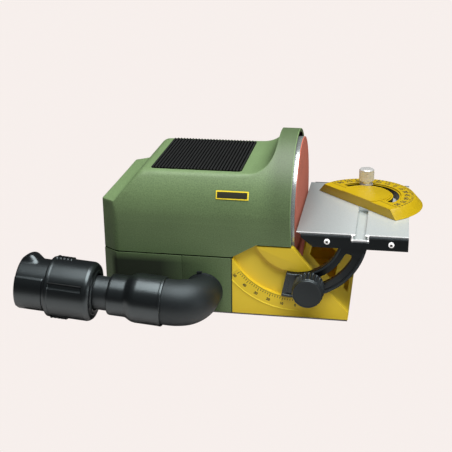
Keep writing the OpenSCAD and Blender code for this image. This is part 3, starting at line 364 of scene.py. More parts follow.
@functools.cache
def finishes():
    """All finishes, made once."""
    c = bpy.context.scene.sander_colours
    cool = (0.82, 0.96, 1.0)
    # Painted shade on the hood's crown, darkening the green there
    painted_crown_shade = ((0, -31, -17), (2, 64, 145))
    # Painted shadow of the hose on the lower housing beside it, and painted shade in the gap of its joint
    # with the base
    painted_hose_shadow = ((0, -74, -122), (1, -65, -69), (2, 55.5, 47.5))
    return dict(
        green=casing_plastic("green_plastic", c.green, painted_crown_shade, 0.44, 0.0),
        # Lighter green: painted highlight of the bead along the hood's lip
        edge=moulded("highlight_green", shade(c.green, 1.5), 1.5, 0.03, 0.4, 0.1),
        lower=casing_plastic("green_plastic_low", c.green, painted_hose_shadow, 0.88, 0.45, (-56.1, -55.5)),
        yellow=moulded("yellow_plastic", c.yellow, 1.1, 0.02, 0.42, 0.05),
        gauge=protractor("gauge_plastic", c.gauge),
        etched=moulded("etched_yellow", shade(c.gauge, 0.2), 1.1, 0.015, 0.5, 0.1),
        black=moulded("black_plastic", c.black, 0.7, 0.02, 0.42, 0.12, 0.75, cool),
        glossy=moulded("smooth_black_plastic", shade(c.black, 0.7), 1.2, 0.02, 0.31, 0.1, 0.8, cool),
        # Lighter black: painted highlight on the quadrant's rims and the bracket's top ridges
        rim=moulded("highlight_black_plastic", shade(c.black, 3.5), 1.2, 0.02, 0.4, 0.1, 0.8, cool),
        matt=moulded("matt_black_plastic", c.black, 1.2, 0.07, 0.52, 0.12, 0.5, cool),
        grille=moulded("vent_plastic", c.grille, 0.6, 0.03, 0.55, 0.15, 0.35),
        # Near-black for sheets of painted shade: inside the hood, behind the seam and under the vent ribs
        shade_black=moulded("painted_shade_black", (0.0015, 0.0015, 0.0015), 0.6, 0.02, 0.9, 0.2, 0.0),
        rubber=moulded("rubber", shade(c.black, 0.8), 0.5, 0.05, 0.75, 0.15, 0.3),
        board=moulded("board", (0.03, 0.14, 0.06), 2.0, 0.02, 0.5),
        table=table_top("table_aluminium", shade(c.aluminium, 1.25)),
        # The last number of brushed() is glow: painted light on the rail, the disc, the thumb screw, the end
        # strips and the screw heads
        aluminium=brushed("aluminium", shade(c.aluminium, 1.3), 0.35, 0.42, (1, 12, 1), 0.3),
        turned=brushed("turned_aluminium", c.aluminium, 0.8, 0.25, (8, 1, 1), 0.14),
        steel=brushed("steel", c.steel, 1.0, 0.24, (1, 1, 8)),
        bright=brushed("nickel", c.steel, 0.5, 0.25, (1, 1, 6), 0.04),
        brass=brushed("brass", (0.60, 0.42, 0.15), 1.0, 0.3, (1, 6, 1)),
        iron=brushed("iron", (0.11, 0.08, 0.06), 0.8, 0.55, (6, 1, 1)),
        cut=brushed("painted_glow_aluminium", (0.93, 0.93, 0.92), 0.1, 0.4, (1, 1, 9), 0.45),
        groove=moulded("matt_yellow_plastic", (0.96, 0.72, 0.07), 0.5, 0.05, 0.75, 0.06, 0.3),
        abrasive=grit("abrasive", c.abrasive),
        ink=plain_ink("scale_ink", c.ink),
        # Lighter yellow; on the tilt scale's raised border it is a painted highlight
        trim=moulded("trim_yellow", (0.98, 0.76, 0.04), 1.0, 0.01, 0.35, 0.05),
        badge=moulded("badge_black", (0.03, 0.03, 0.018), 0.8, 0.02, 0.38, 0.3),
    )


# Mesh helpers


def xyz(x, y, z):
    """Points from three coordinates, each one number or an array."""
    return np.stack(np.broadcast_arrays(x, y, z), -1).astype(float)


def grid(points, wrap_rows=False, wrap_columns=False, caps=False):
    """Quads between neighbours of a (rows, columns, 3) array, closed round where asked."""
    rows, columns = points.shape[:2]
    r, c = np.indices((rows - (not wrap_rows), columns - (not wrap_columns)))
    r2, c2 = (r + 1) % rows, (c + 1) % columns
    quads = np.stack([r * columns + c, r * columns + c2, r2 * columns + c2, r2 * columns + c], -1)
    faces = quads.reshape(-1, 4).tolist()
    if caps:
        faces.append(list(range(columns)))
        faces.append(list(range((rows - 1) * columns, rows * columns)))
    return points.reshape(-1, 3), faces


def tube(points):
    """A stack of closed rings, capped at both ends."""
    return grid(points, False, True, True)


def bars(centres, along, across, up):
    """Small boxes: centres plus or minus three half edges, each one vector or one per box."""
    centres = np.asarray(centres, float)
    signs = np.indices((2, 2, 2)).reshape(3, 8).T * 2.0 - 1
    edges = np.stack([np.broadcast_to(edge, centres.shape) for edge in (along, across, up)], 1)
    points = centres[:, None, :] + np.einsum("sk,nkd->nsd", signs, edges)
    box = np.array([[0, 1, 3, 2], [4, 6, 7, 5], [0, 4, 5, 1], [2, 3, 7, 6], [0, 2, 6, 4], [1, 5, 7, 3]])
    faces = box[None] + 8 * np.arange(len(points))[:, None, None]
    return points.reshape(-1, 3), faces.reshape(-1, 4).tolist()


def sweep(path, side, up, section):
    """Carries a section of (side, up) offsets along a path; side and up are one way or one per point."""
    side, up = (np.broadcast_to(way, path.shape)[:, None, :] for way in (side, up))
    return tube(path[:, None, :] + section[None, :, :1] * side + section[None, :, 1:] * up)


def oval(wide, high, count):
    """Section points round an oval with these half axes."""
    t = np.linspace(0, TAU, count, endpoint=False)
    return np.stack([wide * np.cos(t), high * np.sin(t)], -1)


def half_oval(wide, high, sunk):
    """Section points over the upper half of an oval that is sunk a little."""
    t = np.linspace(0, np.pi, 7)
    return np.stack([wide * np.cos(t), high * np.sin(t) - sunk], -1)


def lathe(profile, base, axis, first, second, turns, swell=None):
    """Revolves (radius, way) points about an axis; swell(angle, way) is added to the radius."""
    angle = np.linspace(0, TAU, turns, endpoint=False)
    radius = np.repeat(profile[:, :1], turns, 1)
    if swell is not None:
        radius = radius + swell(angle[None, :], profile[:, 1:])
    ring = np.cos(angle)[:, None] * first + np.sin(angle)[:, None] * second
    return np.asarray(base) + profile[:, 1, None, None] * axis + radius[:, :, None] * ring[None]


def smooth_step(x, low, high):
    """0 below low, 1 above high, a cubic between."""
    t = np.clip((x - low) / (high - low), 0, 1)
    return t * t * (3 - 2 * t)


def smooth_hill(x, low, high, turn, end):
    """Rises from low to high, and falls again from turn to end."""
    return smooth_step(x, low, high) * (1 - smooth_step(x, turn, end))


def smooth_min(a, b, round_mm):
    """The smaller of two values, with the corner between them rounded over round_mm."""
    h = np.clip(1 - np.abs(a - b) / round_mm, 0, 1)
    return np.minimum(a, b) - h * h * round_mm / 4


def rounded(corners, radius, steps):
    """An open polyline whose inner corners are replaced by quadratic curves of about that radius."""
    corners = np.asarray(corners, float)
    out = [corners[:1]]
    t = np.linspace(0, 1, steps)[:, None]
    for before, corner, after in zip(corners[:-2], corners[1:-1], corners[2:]):
        ends = []
        for other in (before, after):
            length = np.linalg.norm(other - corner)
            ends.append(corner + (other - corner) / max(length, 1e-9) * min(radius, length * 0.48))
        out.append((1 - t) ** 2 * ends[0] + 2 * t * (1 - t) * corner + t**2 * ends[1])
    out.append(corners[-1:])
    return np.concatenate(out)


def add_object(name, data):
    thing = bpy.data.objects.new(name, data)
    bpy.context.scene.collection.objects.link(thing)
    return thing


def make_piece(name, parts, finish, body, replaces=(), sharp=38):
    """One object from parts of (points, faces) in the machine's frame."""
    points, faces, start = [], [], 0
    for part_points, part_faces in parts:
        points.append(part_points)
        faces += [[i + start for i in face] for face in part_faces]
        start += len(part_points)
    mesh = bpy.data.meshes.new(name)
    mesh.from_pydata(to_row(np.concatenate(points)).tolist(), [], faces)
    finish_piece(name, mesh, finish, body, replaces, sharp, 1e-6)


def finish_piece(name, mesh, finish, body, replaces, sharp, weld, join_flat=False):
    """Welds, orients and smooths a mesh, and sets the object on its body."""
    bm = bmesh.new()
    bm.from_mesh(mesh)
    bmesh.ops.remove_doubles(bm, verts=bm.verts, dist=weld)
    if join_flat:
        bmesh.ops.dissolve_limit(bm, angle_limit=np.radians(0.5), verts=bm.verts, edges=bm.edges)
    bmesh.ops.dissolve_degenerate(bm, edges=bm.edges, dist=weld)
    bmesh.ops.recalc_face_normals(bm, faces=bm.faces)
    bm.to_mesh(mesh)
    bm.free()
    mesh.polygons.foreach_set("use_smooth", np.ones(len(mesh.polygons), bool))
    mesh.set_sharp_from_angle(angle=np.radians(sharp))
    mesh.materials.clear()
    mesh.materials.append(finishes()[finish])
    piece = add_object(name, mesh)
    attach(piece, body)
    if replaces:
        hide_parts(*replaces)
    return piece


def soften(node, finish, edge_mm, body, sharp=35, segments=2):
    """A welded copy of a CAD node with its flat faces joined and its edges rounded."""
    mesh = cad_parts[node].data.copy()
    piece = finish_piece(f"{node}_finished", mesh, finish, body, (node,), sharp, 2e-6, True)
    if edge_mm:
        bevel = piece.modifiers.new("edges", "BEVEL")
        bevel.width = edge_mm * MM
        bevel.segments = segments
        bevel.limit_method = "ANGLE"
        bevel.angle_limit = np.radians(sharp)
        bevel.harden_normals = True


def dress(node, finish):
    """Keeps a CAD node as it is, with a better finish."""
    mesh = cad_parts[node].data
    mesh.materials.clear()
    mesh.materials.append(finishes()[finish])


def written(text, size, centre, right, up, bold):
    """Digits as a flat mesh: the font's outline set with its middle at centre."""
    curve = bpy.data.curves.new("digits", "FONT")
    curve.body = text
    curve.size = size
    curve.align_x = "CENTER"
    curve.align_y = "CENTER"
    curve.resolution_u = 3
    curve.offset = bold
    holder = add_object("digits", curve)
    mesh = bpy.data.meshes.new_from_object(holder)
    flat = np.array([corner.co for corner in mesh.vertices])
    faces = [list(p.vertices) for p in mesh.polygons]
    bpy.data.objects.remove(holder)
    bpy.data.curves.remove(curve)
    bpy.data.meshes.remove(mesh)
    return centre + flat[:, :1] * right + flat[:, 1:2] * up + INK_LIFT * np.cross(right, up), faces


# Casing


def flare_rise(x):
    """Height of the flare over the flat top: a quarter circle that ends steep."""
    start, radius, steep = -43.8, 24, np.radians(85)
    part = np.clip((x - start) / radius, 0, np.sin(steep))
    beyond = np.maximum(x - start - radius * np.sin(steep), 0)
    return radius * (1 - np.sqrt(1 - part**2)) + beyond * np.tan(steep)


def lean(points):
    """Brings the foot of the hood's front forward, as its lip leans."""
    low = 1 - smooth_step(points[..., 2], 66, 98)
    points[..., 0] += LIP_LEAN * low * smooth_step(points[..., 0], -15, LIP_X)
    return points


def lip_line():
    """Painted highlight on the hood's edge: a thin lighter bead along its front lip."""
    x, radius, bead = LIP_X - 0.25, HALF_WIDTH - 0.3, 0.35
    angle = np.linspace(0, np.pi, 91)
    out = xyz(0, -np.cos(angle), np.sin(angle))
    lip = np.array([x, 0, AXIS_Z]) + radius * out
    foot = xyz(x, -radius, np.linspace(69.5, AXIS_Z - 2, 5))
    path = lean(np.concatenate([foot, lip, foot[::-1] * [1, -1, 1]]))
    side = np.concatenate([np.tile(out[0], (5, 1)), out, np.tile(out[-1], (5, 1))])
    return sweep(path, side, X_WAY, oval(bead, bead, 8))


def casing_skin(edge):
    """Upper housing: rays from the joint line's middle meet the arch, the shelf, the slope, the flat
    top and the flare, and the nearest meeting, rounded by a smooth minimum, is the wall."""
    rear_round, lip_round, wall = 1.4, 0.9, 3.0
    hood_low, ramp_run, slope_run = 68, 22.1, 21
    runs = ((REAR_X + rear_round + 0.2, SHELF_X - 1.2, 14), (SHELF_X - 1, -138, 60), (-137, -50, 44),
        (-49, -22.5, 48), (-22.2, -19.4, 34), (-19.2, LIP_X - lip_round - 0.2, 20))
    body_x = np.concatenate([np.linspace(*run) for run in runs])
    turn = np.linspace(np.pi / 2, 0, 7)
    back = turn[::-1]
    inside_x = [LIP_X, LIP_X - 0.5, -9, SHADE_SHEET_X + 0.4, SHADE_SHEET_X - 0.1, SHADE_SHEET_X - 0.1, SHADE_SHEET_X - 0.1]
    inside = [wall - 0.4, wall, wall, wall, wall + 0.5, wall, wall]
    x = np.concatenate([np.full(8, REAR_X), REAR_X + rear_round * (1 - np.sin(turn)), body_x,
        LIP_X - lip_round * (1 - np.sin(back)), inside_x])[:, None]
    inset = np.concatenate([np.full(8, rear_round), rear_round * (1 - np.cos(turn)), 0 * body_x,
        lip_round * (1 - np.cos(back)), inside])[:, None]
    share = np.concatenate([np.linspace(0.03, 1, 9)[:-1], np.ones(len(x) - 10), [0.6, 0.2]])[:, None]
    rise = (x - BASE_X) * (hood_low - SEAM_Z) / ramp_run
    low = np.clip(SEAM_Z + rise, SEAM_Z, hood_low) + SEAM_GAP
    phi = np.linspace(0, np.pi, 229)[None, :]
    cos, sin = np.cos(phi), np.maximum(np.sin(phi), 1e-6)
    side = smooth_min(HALF_WIDTH, HALF_WIDTH - CORNER_Y + (x - REAR_X) * CORNER_Y / CORNER_X, 2.5)
    side = side / np.maximum(np.abs(cos), 1e-6)
    b = sin * (low - AXIS_Z)
    arch = -b + np.sqrt(b * b - (low - AXIS_Z) ** 2 + HALF_WIDTH**2)
    upright = low + side * sin < AXIS_Z
    reach = np.where(upright, side, smooth_min(arch, side, 0.5))
    climb = x - SHELF_X
    climb = (climb + np.sqrt(climb**2 + 3)) / 2
    roof = smooth_min(SHELF_Z + climb * (ROOF_Z - SHELF_Z) / slope_run, ROOF_Z + flare_rise(x), 5.0)
    places = [REAR_X, SHELF_X, -143, -128, -62, -44, -26]
    soft = edge * np.interp(x, places, [0.3, 0.3, 1.5, 0.9, 0.9, 0.45, 0.25])
    reach = smooth_min(reach, (roof - low) / sin, soft)
    reach = (reach - inset) * share
    return tube(lean(xyz(x, -reach * cos, low + reach * sin)))


def hood_liner():
    """Dark sheet of painted shade inside the hood: an L section carried along the inside of the arch."""
    radius, thick, depth, flange = 66.95, 0.25, 13.4, 9
    angle = np.linspace(0, np.pi, 61)
    foot = np.array([70.0, 76, 82])
    y = np.concatenate([np.full(3, -radius), -radius * np.cos(angle), np.full(3, radius)])
    z = np.concatenate([foot, AXIS_Z + radius * np.sin(angle), foot[::-1]])
    out = xyz(0, y, np.maximum(z - AXIS_Z, 0)) / radius
    section = np.array([[0, 0], [0, depth], [-thick, depth], [-thick, thick], [-flange, thick], [-flange, 0]])
    return sweep(xyz(SHADE_SHEET_X, y, z), out, X_WAY, section)


def seam_band():
    """Dark band of painted shade behind the joint of the housing halves, along the casing's plan."""
    loops, front, low, high = [], BASE_X - 0.3, SEAM_Z - 1.4, SEAM_Z + 2.2
    for inset, z in ((0.5, low), (0.5, high), (2.4, high), (2.4, low)):
        half, rear = HALF_WIDTH - inset, REAR_X + inset
        near = np.array([[front, -half], [rear + CORNER_X, -half], [rear, CORNER_Y - half]])
        plan = np.concatenate([near, near[::-1] * [1, -1]])
        loops.append(xyz(*plan.T, z))
    return tube(np.stack(loops, 1))


class SANDER_OT_casing(bpy.types.Operator):
    """Upper housing with its hood as one smooth moulded skin"""

    bl_idname = "sander.casing"
    bl_label = "Casing"

    def execute(self, context):
        skin = casing_skin(context.scene.sander_sizes.casing_round)
        make_piece("casing_skin", [skin], "green", "base", ("upper_housing",), 50)
        # Thin lighter bead: painted highlight on the hood's lip
        make_piece("hood_lip_highlight", [lip_line()], "edge", "base")
        # Dark sheet: painted shade inside the hood
        make_piece("hood_painted_shade", [hood_liner()], "shade_black", "base")
        # Dark band: painted shade in the seam
        make_piece("seam_shadow", [seam_band()], "shade_black", "base")
        soften("lower_housing", "lower", 0.6, "base")
        return {"FINISHED"}


class SANDER_OT_vent(bpy.types.Operator):
    """Ribbed vent: round-topped ribs across a dark sheet of painted shade"""

    bl_idname = "sander.vent"
    bl_label = "Vent"

    def execute(self, context):
        low, high = node_box("vent_grille")
        count = context.scene.sander_sizes.vent_ribs
        pitch = (high[0] - low[0]) / count
        half, foot, corner = pitch * 0.29, ROOF_Z + 0.2, 4.0
        t = np.linspace(0, np.pi, 7)
        section = np.stack([half * np.cos(t), (high[2] - foot) * np.sin(t) ** 0.7], -1)
        section = np.concatenate([section, [[-half, -0.6], [half, -0.6]]])
        ribs = []
        for x in low[0] + pitch * (np.arange(count) + 0.5):
            near = max(corner - min(x - low[0], high[0] - x), 0)
            cut = corner - np.sqrt(corner**2 - near**2)
            first, last = low[1] + cut, high[1] - cut
            y = np.array([first + 0.6, first + 1.2, last - 1.2, last - 0.6])
            ribs.append(sweep(xyz(x, y, foot), X_WAY, Z_WAY, section))
        spin = np.linspace(0, TAU, 32, endpoint=False) + TAU / 64
        ring = np.stack([np.cos(spin), np.sin(spin)], -1)
        rim = ((low + high) / 2)[:2] + ring * corner + np.sign(ring) * (((high - low) / 2)[:2] - corner)
        # Dark sheet under the ribs: painted shade in the gaps between them
        shade_rings = [xyz(*rim.T, z) for z in (foot - 0.45, foot - 0.05)]
        make_piece("vent_ribs", ribs, "grille", "base", ("vent_grille",), 40)
        make_piece("vent_painted_shade", [tube(np.stack(shade_rings))], "shade_black", "base")
        return {"FINISHED"}


def wall_arc(x, z, lift):
    """Points on the arched near wall at heights z, lifted off it."""
    r = HALF_WIDTH + lift
    angle = np.arcsin(np.clip((z - AXIS_Z) / HALF_WIDTH, -1, 1))
    return xyz(x, -r * np.cos(angle), AXIS_Z + r * np.sin(angle))


class SANDER_OT_side_plate(bpy.types.Operator):
    """Bare plate on the casing's side: a dark field inside a raised frame"""

    bl_idname = "sander.side_plate"
    bl_label = "Side plate"

    def execute(self, context):
        low, high = node_box("side_plate")
        fields = []
        for rim, lift in ((0.0, 0.55), (1.0, 0.7)):
            x0, x1 = low[0] + rim, high[0] - rim
            x = np.array([x0, x0, x0 + 0.3, x1 - 0.3, x1, x1])[:, None]
            z = np.tile(np.linspace(low[2] + rim, high[2] - rim, 9), (6, 1))
            out = np.array([-0.4, lift - 0.25, lift, lift, lift - 0.25, -0.4])[:, None]
            fields.append(grid(wall_arc(x, z, out)))
        make_piece("plate_frame", fields[:1], "trim", "base", ("side_plate",))
        make_piece("plate_field", fields[1:], "badge", "base")
        return {"FINISHED"}


# Chute base


def spokes(degrees):
    """Directions on a plane of constant y; 0 degrees lies along the level table."""
    a = np.radians(degrees)
    return xyz(np.cos(a), 0, np.sin(a))


def polar(radius, degrees, y):
    """Points about the tilt axis on a plane of constant y."""
    return np.array([TILT_X, y, TILT_Z]) + np.asarray(radius)[..., None] * spokes(degrees)


def tilt_scale():
    """Ticks, line and numbers of the tilt scale: 0 stands straight under the tilt axis."""
    degrees = np.arange(0, 51, 2)
    half = np.where(degrees % 10 == 0, 1.5, 0.85)
    spoke, ring = spokes(-90.0 - degrees), spokes(-180.0 - degrees)
    middle = polar(SCALE_TICKS + half, -90.0 - degrees, BASE_Y)
    ink = [bars(middle, spoke * half[:, None], ring * 0.26, -0.05 * Y_WAY)]
    arc = np.linspace(-140, -90, 60)
    thin = np.array([[-0.16, 0.05], [-0.16, -0.05], [0.16, -0.05], [0.16, 0.05]])
    ink.append(sweep(polar(SCALE_LINE, arc, BASE_Y), spokes(arc), -Y_WAY, thin))
    for value in range(0, 60, 10):
        turn = -90.0 - value
        spot = polar(SCALE_TEXT, turn, BASE_Y)
        ink.append(written(str(value), 3.5, spot, spokes(turn + 90), spokes(turn + 180), 0.13))
    return ink


class SANDER_OT_base(bpy.types.Operator):
    """Yellow chute base with the tilt scale on its near side"""

    bl_idname = "sander.base"
    bl_label = "Chute base"

    def execute(self, context):
        soften("chute_base", "yellow", 1.1, "base", 35, 3)
        soften("bottom_cover", "glossy", 0.4, "base")
        soften("rubber_feet", "rubber", 0.3, "base")
        turn = np.linspace(-152, -88, 60)[:, None]
        radius = np.linspace(44.0, 64.6, 8)[None, :]
        under, over = (polar(radius, turn, BASE_Y + depth) for depth in (4.0, 3.95))
        floor = tube(np.concatenate([under, over[:, ::-1]], 1))
        make_piece("groove_floor", [floor], "groove", "base")
        section = oval(0.55, 0.45, 8)
        start = -143
        arc = np.linspace(start, -88, 50)
        border = [sweep(polar(SCALE_EDGE, arc, BASE_Y), spokes(arc), -Y_WAY, section)]
        end = np.linspace(66.5, SCALE_EDGE, 6)
        across = np.cross(spokes(start), Y_WAY)
        border.append(sweep(polar(end, start + 0 * end, BASE_Y), across, -Y_WAY, section))
        # Lighter yellow of the raised border: painted highlight
        make_piece("scale_border", border, "trim", "base")
        make_piece("tilt_scale", tilt_scale(), "ink", "base")
        return {"FINISHED"}


# Disc and table


class SANDER_OT_disc(bpy.types.Operator):
    """Turned disc, abrasive sheet and the drive behind them"""

    bl_idname = "sander.disc"
    bl_label = "Disc and drive"

    def execute(self, context):
        soften("sanding_disc", "turned", 0.0, "spindle", 30)
        soften("abrasive_sheet", "abrasive", 0.15, "spindle")
        for finish, nodes in (
            ("steel", ("motor_shaft", "grub_screw", "motor_can", "motor_plate", "motor_screws",
                "front_bearing", "rear_bearing", "housing_screws", "gauge_pivot")),
            ("iron", ("armature", "motor_magnets")),
            ("glossy", ("cooling_fan",)),
            ("turned", ("motor_end_bell",)),
            ("board", ("control_board", "speed_pot")),
            ("black", ("dust_duct",)),
            ("brass", ("clamp_insert", "guide_insert")),
        ):
            for node in nodes:
                dress(node, finish)
        return {"FINISHED"}


def cross_screws():
    """Pan heads with a cross recess: a domed lathe and two crossed dark bars of painted shade let into it."""
    heads, recess = [], []
    radius, rim, height = 2.5, 0.6, 1.7
    t = np.linspace(0, np.pi / 2, 9)[:-1]
    dome = np.stack([radius * np.cos(t), rim + (height - rim) * np.sin(t)], -1)
    profile = np.concatenate([[[radius, 0.0]], dome, [[0.02, height]]])
    turn = np.array([45.0, 135.0])
    for x in (TILT_X + TABLE_DEPTH * 0.28, TILT_X + TABLE_DEPTH * 0.85):
        for way in (-Y_WAY, Y_WAY):
            base = np.array([x, 0, TILT_Z - 6.6]) + 74.0 * way
            heads.append(tube(lathe(profile, base, way, X_WAY, Z_WAY, 40)))
            middle = np.tile(base + way * (height - 0.15), (2, 1))
            recess.append(bars(middle, spokes(turn) * 1.35, spokes(turn + 90) * 0.5, way * 0.2))
    return heads, recess


def sawn_end():
    """Painted highlights: glowing strips on the extrusion's near end, at the slot's edges and the top beside
    it.
    """
    low, high = node_box("table_plate")
    strips = [(PIVOT_X, 79.5, 7.4, 0.6)]
    for side, end in ((-1, low[0]), (1, high[0])):
        slot = PIVOT_X + side * 4.5
        strips.append((PIVOT_X + side * 6.2, 84.2, 1.7, 0.8))
        strips.append((PIVOT_X + side * 6.9, 81.9, 0.55, 3.0))
        strips.append(((end + slot) / 2, 84.6, abs(end - slot) / 2, 0.4))
    y = low[1] - 0.03
    return [bars([[x, y, z]], wide * X_WAY, 0.05 * Y_WAY, tall * Z_WAY) for x, z, wide, tall in strips]


class SANDER_OT_table(bpy.types.Operator):
    """Extruded table, its black end brackets and their screws"""

    bl_idname = "sander.table"
    bl_label = "Table"

    def execute(self, context):
        soften("table_plate", "table", 0.25, "table")
        soften("near_quadrant", "glossy", 1.1, "table", 35, 3)
        soften("far_quadrant", "glossy", 0.5, "table")
        arc = np.linspace(-100.5, -15.5, 60)
        bead = half_oval(0.9, 0.7, 0.1)
        rims = [sweep(polar(radius, arc, -72.5), spokes(arc), -Y_WAY, bead) for radius in (41.4, 62.2)]
        for start, stop in ((7.6, 50.6), (67.8, 100.8)):
            ridge = xyz(np.linspace(start, stop, 6), -73.2, 83.3)
            rims.append(sweep(ridge, Y_WAY, Z_WAY, oval(1.0, 1.0, 16)))
        # Rims and ridges in the lighter black: painted highlight
        make_piece("quadrant_rims", rims, "rim", "table")
        # Thin glowing strips: painted highlights on the extrusion's near end
        make_piece("sawn_end", sawn_end(), "cut", "table")
        heads, recess = cross_screws()
        # Heads in the glowing finish are painted light; the dark bars paint the shade in the cross recess
        make_piece("bracket_screw_heads", heads, "cut", "table", ("bracket_screws",))
        make_piece("bracket_screw_recess_shade", recess, "ink", "table")
        return {"FINISHED"}


# Clamp and gauge


class SANDER_OT_clamp(bpy.types.Operator):
    """Fluted clamp knob: a lathe whose radius dips at each flute"""

    bl_idname = "sander.clamp"
    bl_label = "Clamp knob"

    def execute(self, context):
        flutes = context.scene.sander_sizes.flutes
        outline = [[0.02, 0], [8.4, 0], [8.4, 3], [13.0, 3.4], [14.3, 4.6], [14.3, 17.6], [13.9, 19.0],
            [13.2, 19.6], [13.0, 21.4], [12.4, 21.9], [11.6, 21.6], [0.02, 21.6]]

        def dips(angle, way):
            wave = (0.5 + 0.5 * np.cos(flutes * angle)) ** 0.8
            return -2.3 * wave * smooth_hill(way, 4.0, 6.0, 18.2, 19.4)

        seat = [STUD_X, -73.5, STUD_Z]
        knob = tube(lathe(rounded(outline, 0.8, 4), seat, -Y_WAY, X_WAY, Z_WAY, flutes * 12, dips))
        make_piece("knob_fluted", [knob], "black", "clamp", ("clamp_knob",), 50)
        soften("clamp_stud", "steel", 0.2, "clamp")
        soften("guide_screw", "steel", 0.3, "base")
        return {"FINISHED"}


def head_spokes(degrees):
    """Directions over the protractor head; 0 degrees lies along its fence."""
    a = np.radians(degrees) + FENCE_TURN
    return xyz(np.cos(a), np.sin(a), 0)


def head_polar(radius, degrees, lift=0.0):
    """Points about the head's pivot, lifted off its top."""
    pivot = np.array([PIVOT_X, PIVOT_Y, HEAD_Z + HEAD_H + lift])
    return pivot + np.asarray(radius)[..., None] * head_spokes(degrees)


def gauge_scale():
    """Ticks each 5 degrees inside the head's rim, and a number each 15."""
    outer, text = 46.2, 39.3
    degrees = np.arange(-90, 91, 5)
    turn = 90 + degrees * 0.985
    half = np.where(degrees % 15 == 0, 1.8, 1.3)
    middle = head_polar(outer - half, turn, INK_LIFT / 2)
    spoke, ring = head_spokes(turn), head_spokes(turn + 90)
    ink = [bars(middle, spoke * half[:, None], ring * 0.5, 0.04 * Z_WAY)]
    for value in range(-90, 91, 15):
        turn = 90 + value * 0.94
        right, up = head_spokes(turn - 90), head_spokes(turn)
        ink.append(written(str(abs(value)), 6.4, head_polar(text, turn), right, up, 0.16))
    return ink


def thumb_screw(knurls):
    """Thumb screw: a lathe whose radius dips between the ridges of its head."""
    low, high = node_box("thumb_screw")
    foot, seat, top = low[2], 94.99, high[2]
    outline = [[0.02, foot], [2.4, foot], [2.4, seat], [5.4, seat], [5.4, seat + 2.4], [6.3, seat + 2.6],
        [7.3, seat + 3.4], [7.3, top - 0.9], [6.5, top], [0.02, top]]

    def ridges(angle, way):
        wave = np.abs(np.cos(knurls * angle / 2))
        return -0.32 * wave * smooth_hill(way, seat + 3.0, seat + 3.8, top - 1.3, top - 0.6)

    base = [PIVOT_X, PIVOT_Y + ARC_R, 0]
    return tube(lathe(rounded(outline, 0.35, 4), base, Z_WAY, X_WAY, Y_WAY, knurls * 8, ridges))


class SANDER_OT_gauge(bpy.types.Operator):
    """Mitre gauge: protractor head with its raised lips, ticks and numbers, on its rail"""

    bl_idname = "sander.gauge"
    bl_label = "Mitre gauge"

    def execute(self, context):
        soften("gauge_head", "gauge", 0.5, "head")
        section = np.array([[-6, 80.5], [6, 80.5], [6, 83.1], [4.3, 83.1], [4.3, 85], [-4.3, 85],
            [-4.3, 83.1], [-6, 83.1]])
        y = PIVOT_Y + np.array([-10.5, -10, 44.5, 45])
        rail = sweep(xyz(PIVOT_X, y, 0), X_WAY, Z_WAY, section)
        make_piece("rail_bar", [rail], "aluminium", "rail", ("gauge_rail",))
        lips = []
        for radius, span in ((24.4, 86), (34.4, 84)):
            turn = np.linspace(90 - span, 90 + span, 80)
            path = head_polar(radius, turn)
            lips.append(sweep(path, head_spokes(turn), Z_WAY, half_oval(0.55, 0.5, 0.05)))
        make_piece("gauge_lips", lips, "gauge", "head")
        fence, away = head_spokes(0), head_spokes(90)
        middle = head_polar([-34.5, 34.5], 0, INK_LIFT / 2) - 2.5 * away
        lines = bars(middle, 10.5 * fence, 0.3 * away, 0.04 * Z_WAY)
        make_piece("gauge_baseline", [lines], "etched", "head")
        make_piece("gauge_scale", gauge_scale(), "ink", "head")
        screw = thumb_screw(context.scene.sander_sizes.knurls)
        make_piece("thumb_knurled", [screw], "bright", "thumb", ("thumb_screw",), 40)
        dress("thumb_washer", "bright")
        return {"FINISHED"}


# Dust outlet


def outlet_lathe(outline, round_mm, swell=None, turns=144):
    """A closed profile revolved about the outlet's middle line."""
    profile = rounded(np.concatenate([outline, outline[:1]]), round_mm, 5)[:-1]
    return grid(lathe(profile, PORT, OUT_AXIS, -Y_WAY, OUT_UP, turns, swell), True, True)


def dense(start, stop, radius, count):
    """A straight run of profile points at one radius."""
    return np.stack([np.full(count, radius), np.linspace(start, stop, count)], -1)


def band(angle, low, high, soft):
    """1 between two angles in degrees, 0 outside, with soft edges."""
    turn = (np.degrees(angle) + 180) % 360 - 180
    return smooth_hill(turn, low - soft, low + soft, high - soft, high + soft)


def collar_swell(angle, way):
    """A slot along the collar's near side, and toothed grips above and below."""
    slot = band(angle, 21, 31, 1.2) * smooth_step(way, 99.0, 100.0) * (way < 130.5)
    tabs = band(angle, 94, 122, 2) + band(angle, -86, -58, 2)
    tabs = tabs * smooth_hill(way, 115.5, 116.6, 130.2, 131.0)
    teeth = 0.5 + 0.5 * np.sign(np.sin((way - 115.5) * TAU / 3.4))
    return -1.9 * slot + tabs * (0.4 + 1.0 * teeth)


def cuff_swell(angle, way):
    """A raised panel on the cuff's near side, and a rounded lug on top of its end."""
    panel = band(angle, -40, 36, 1.2) * smooth_step(way, 136.0, 137.0)
    hump = np.clip(1 - ((way - 153.5) / 9.0) ** 2, 0, 1)
    lug = band(angle, 80, 124, 9) * hump**1.5
    return (0.8 * panel + 5.0 * lug) * smooth_step(way, 134.5, 135.5)


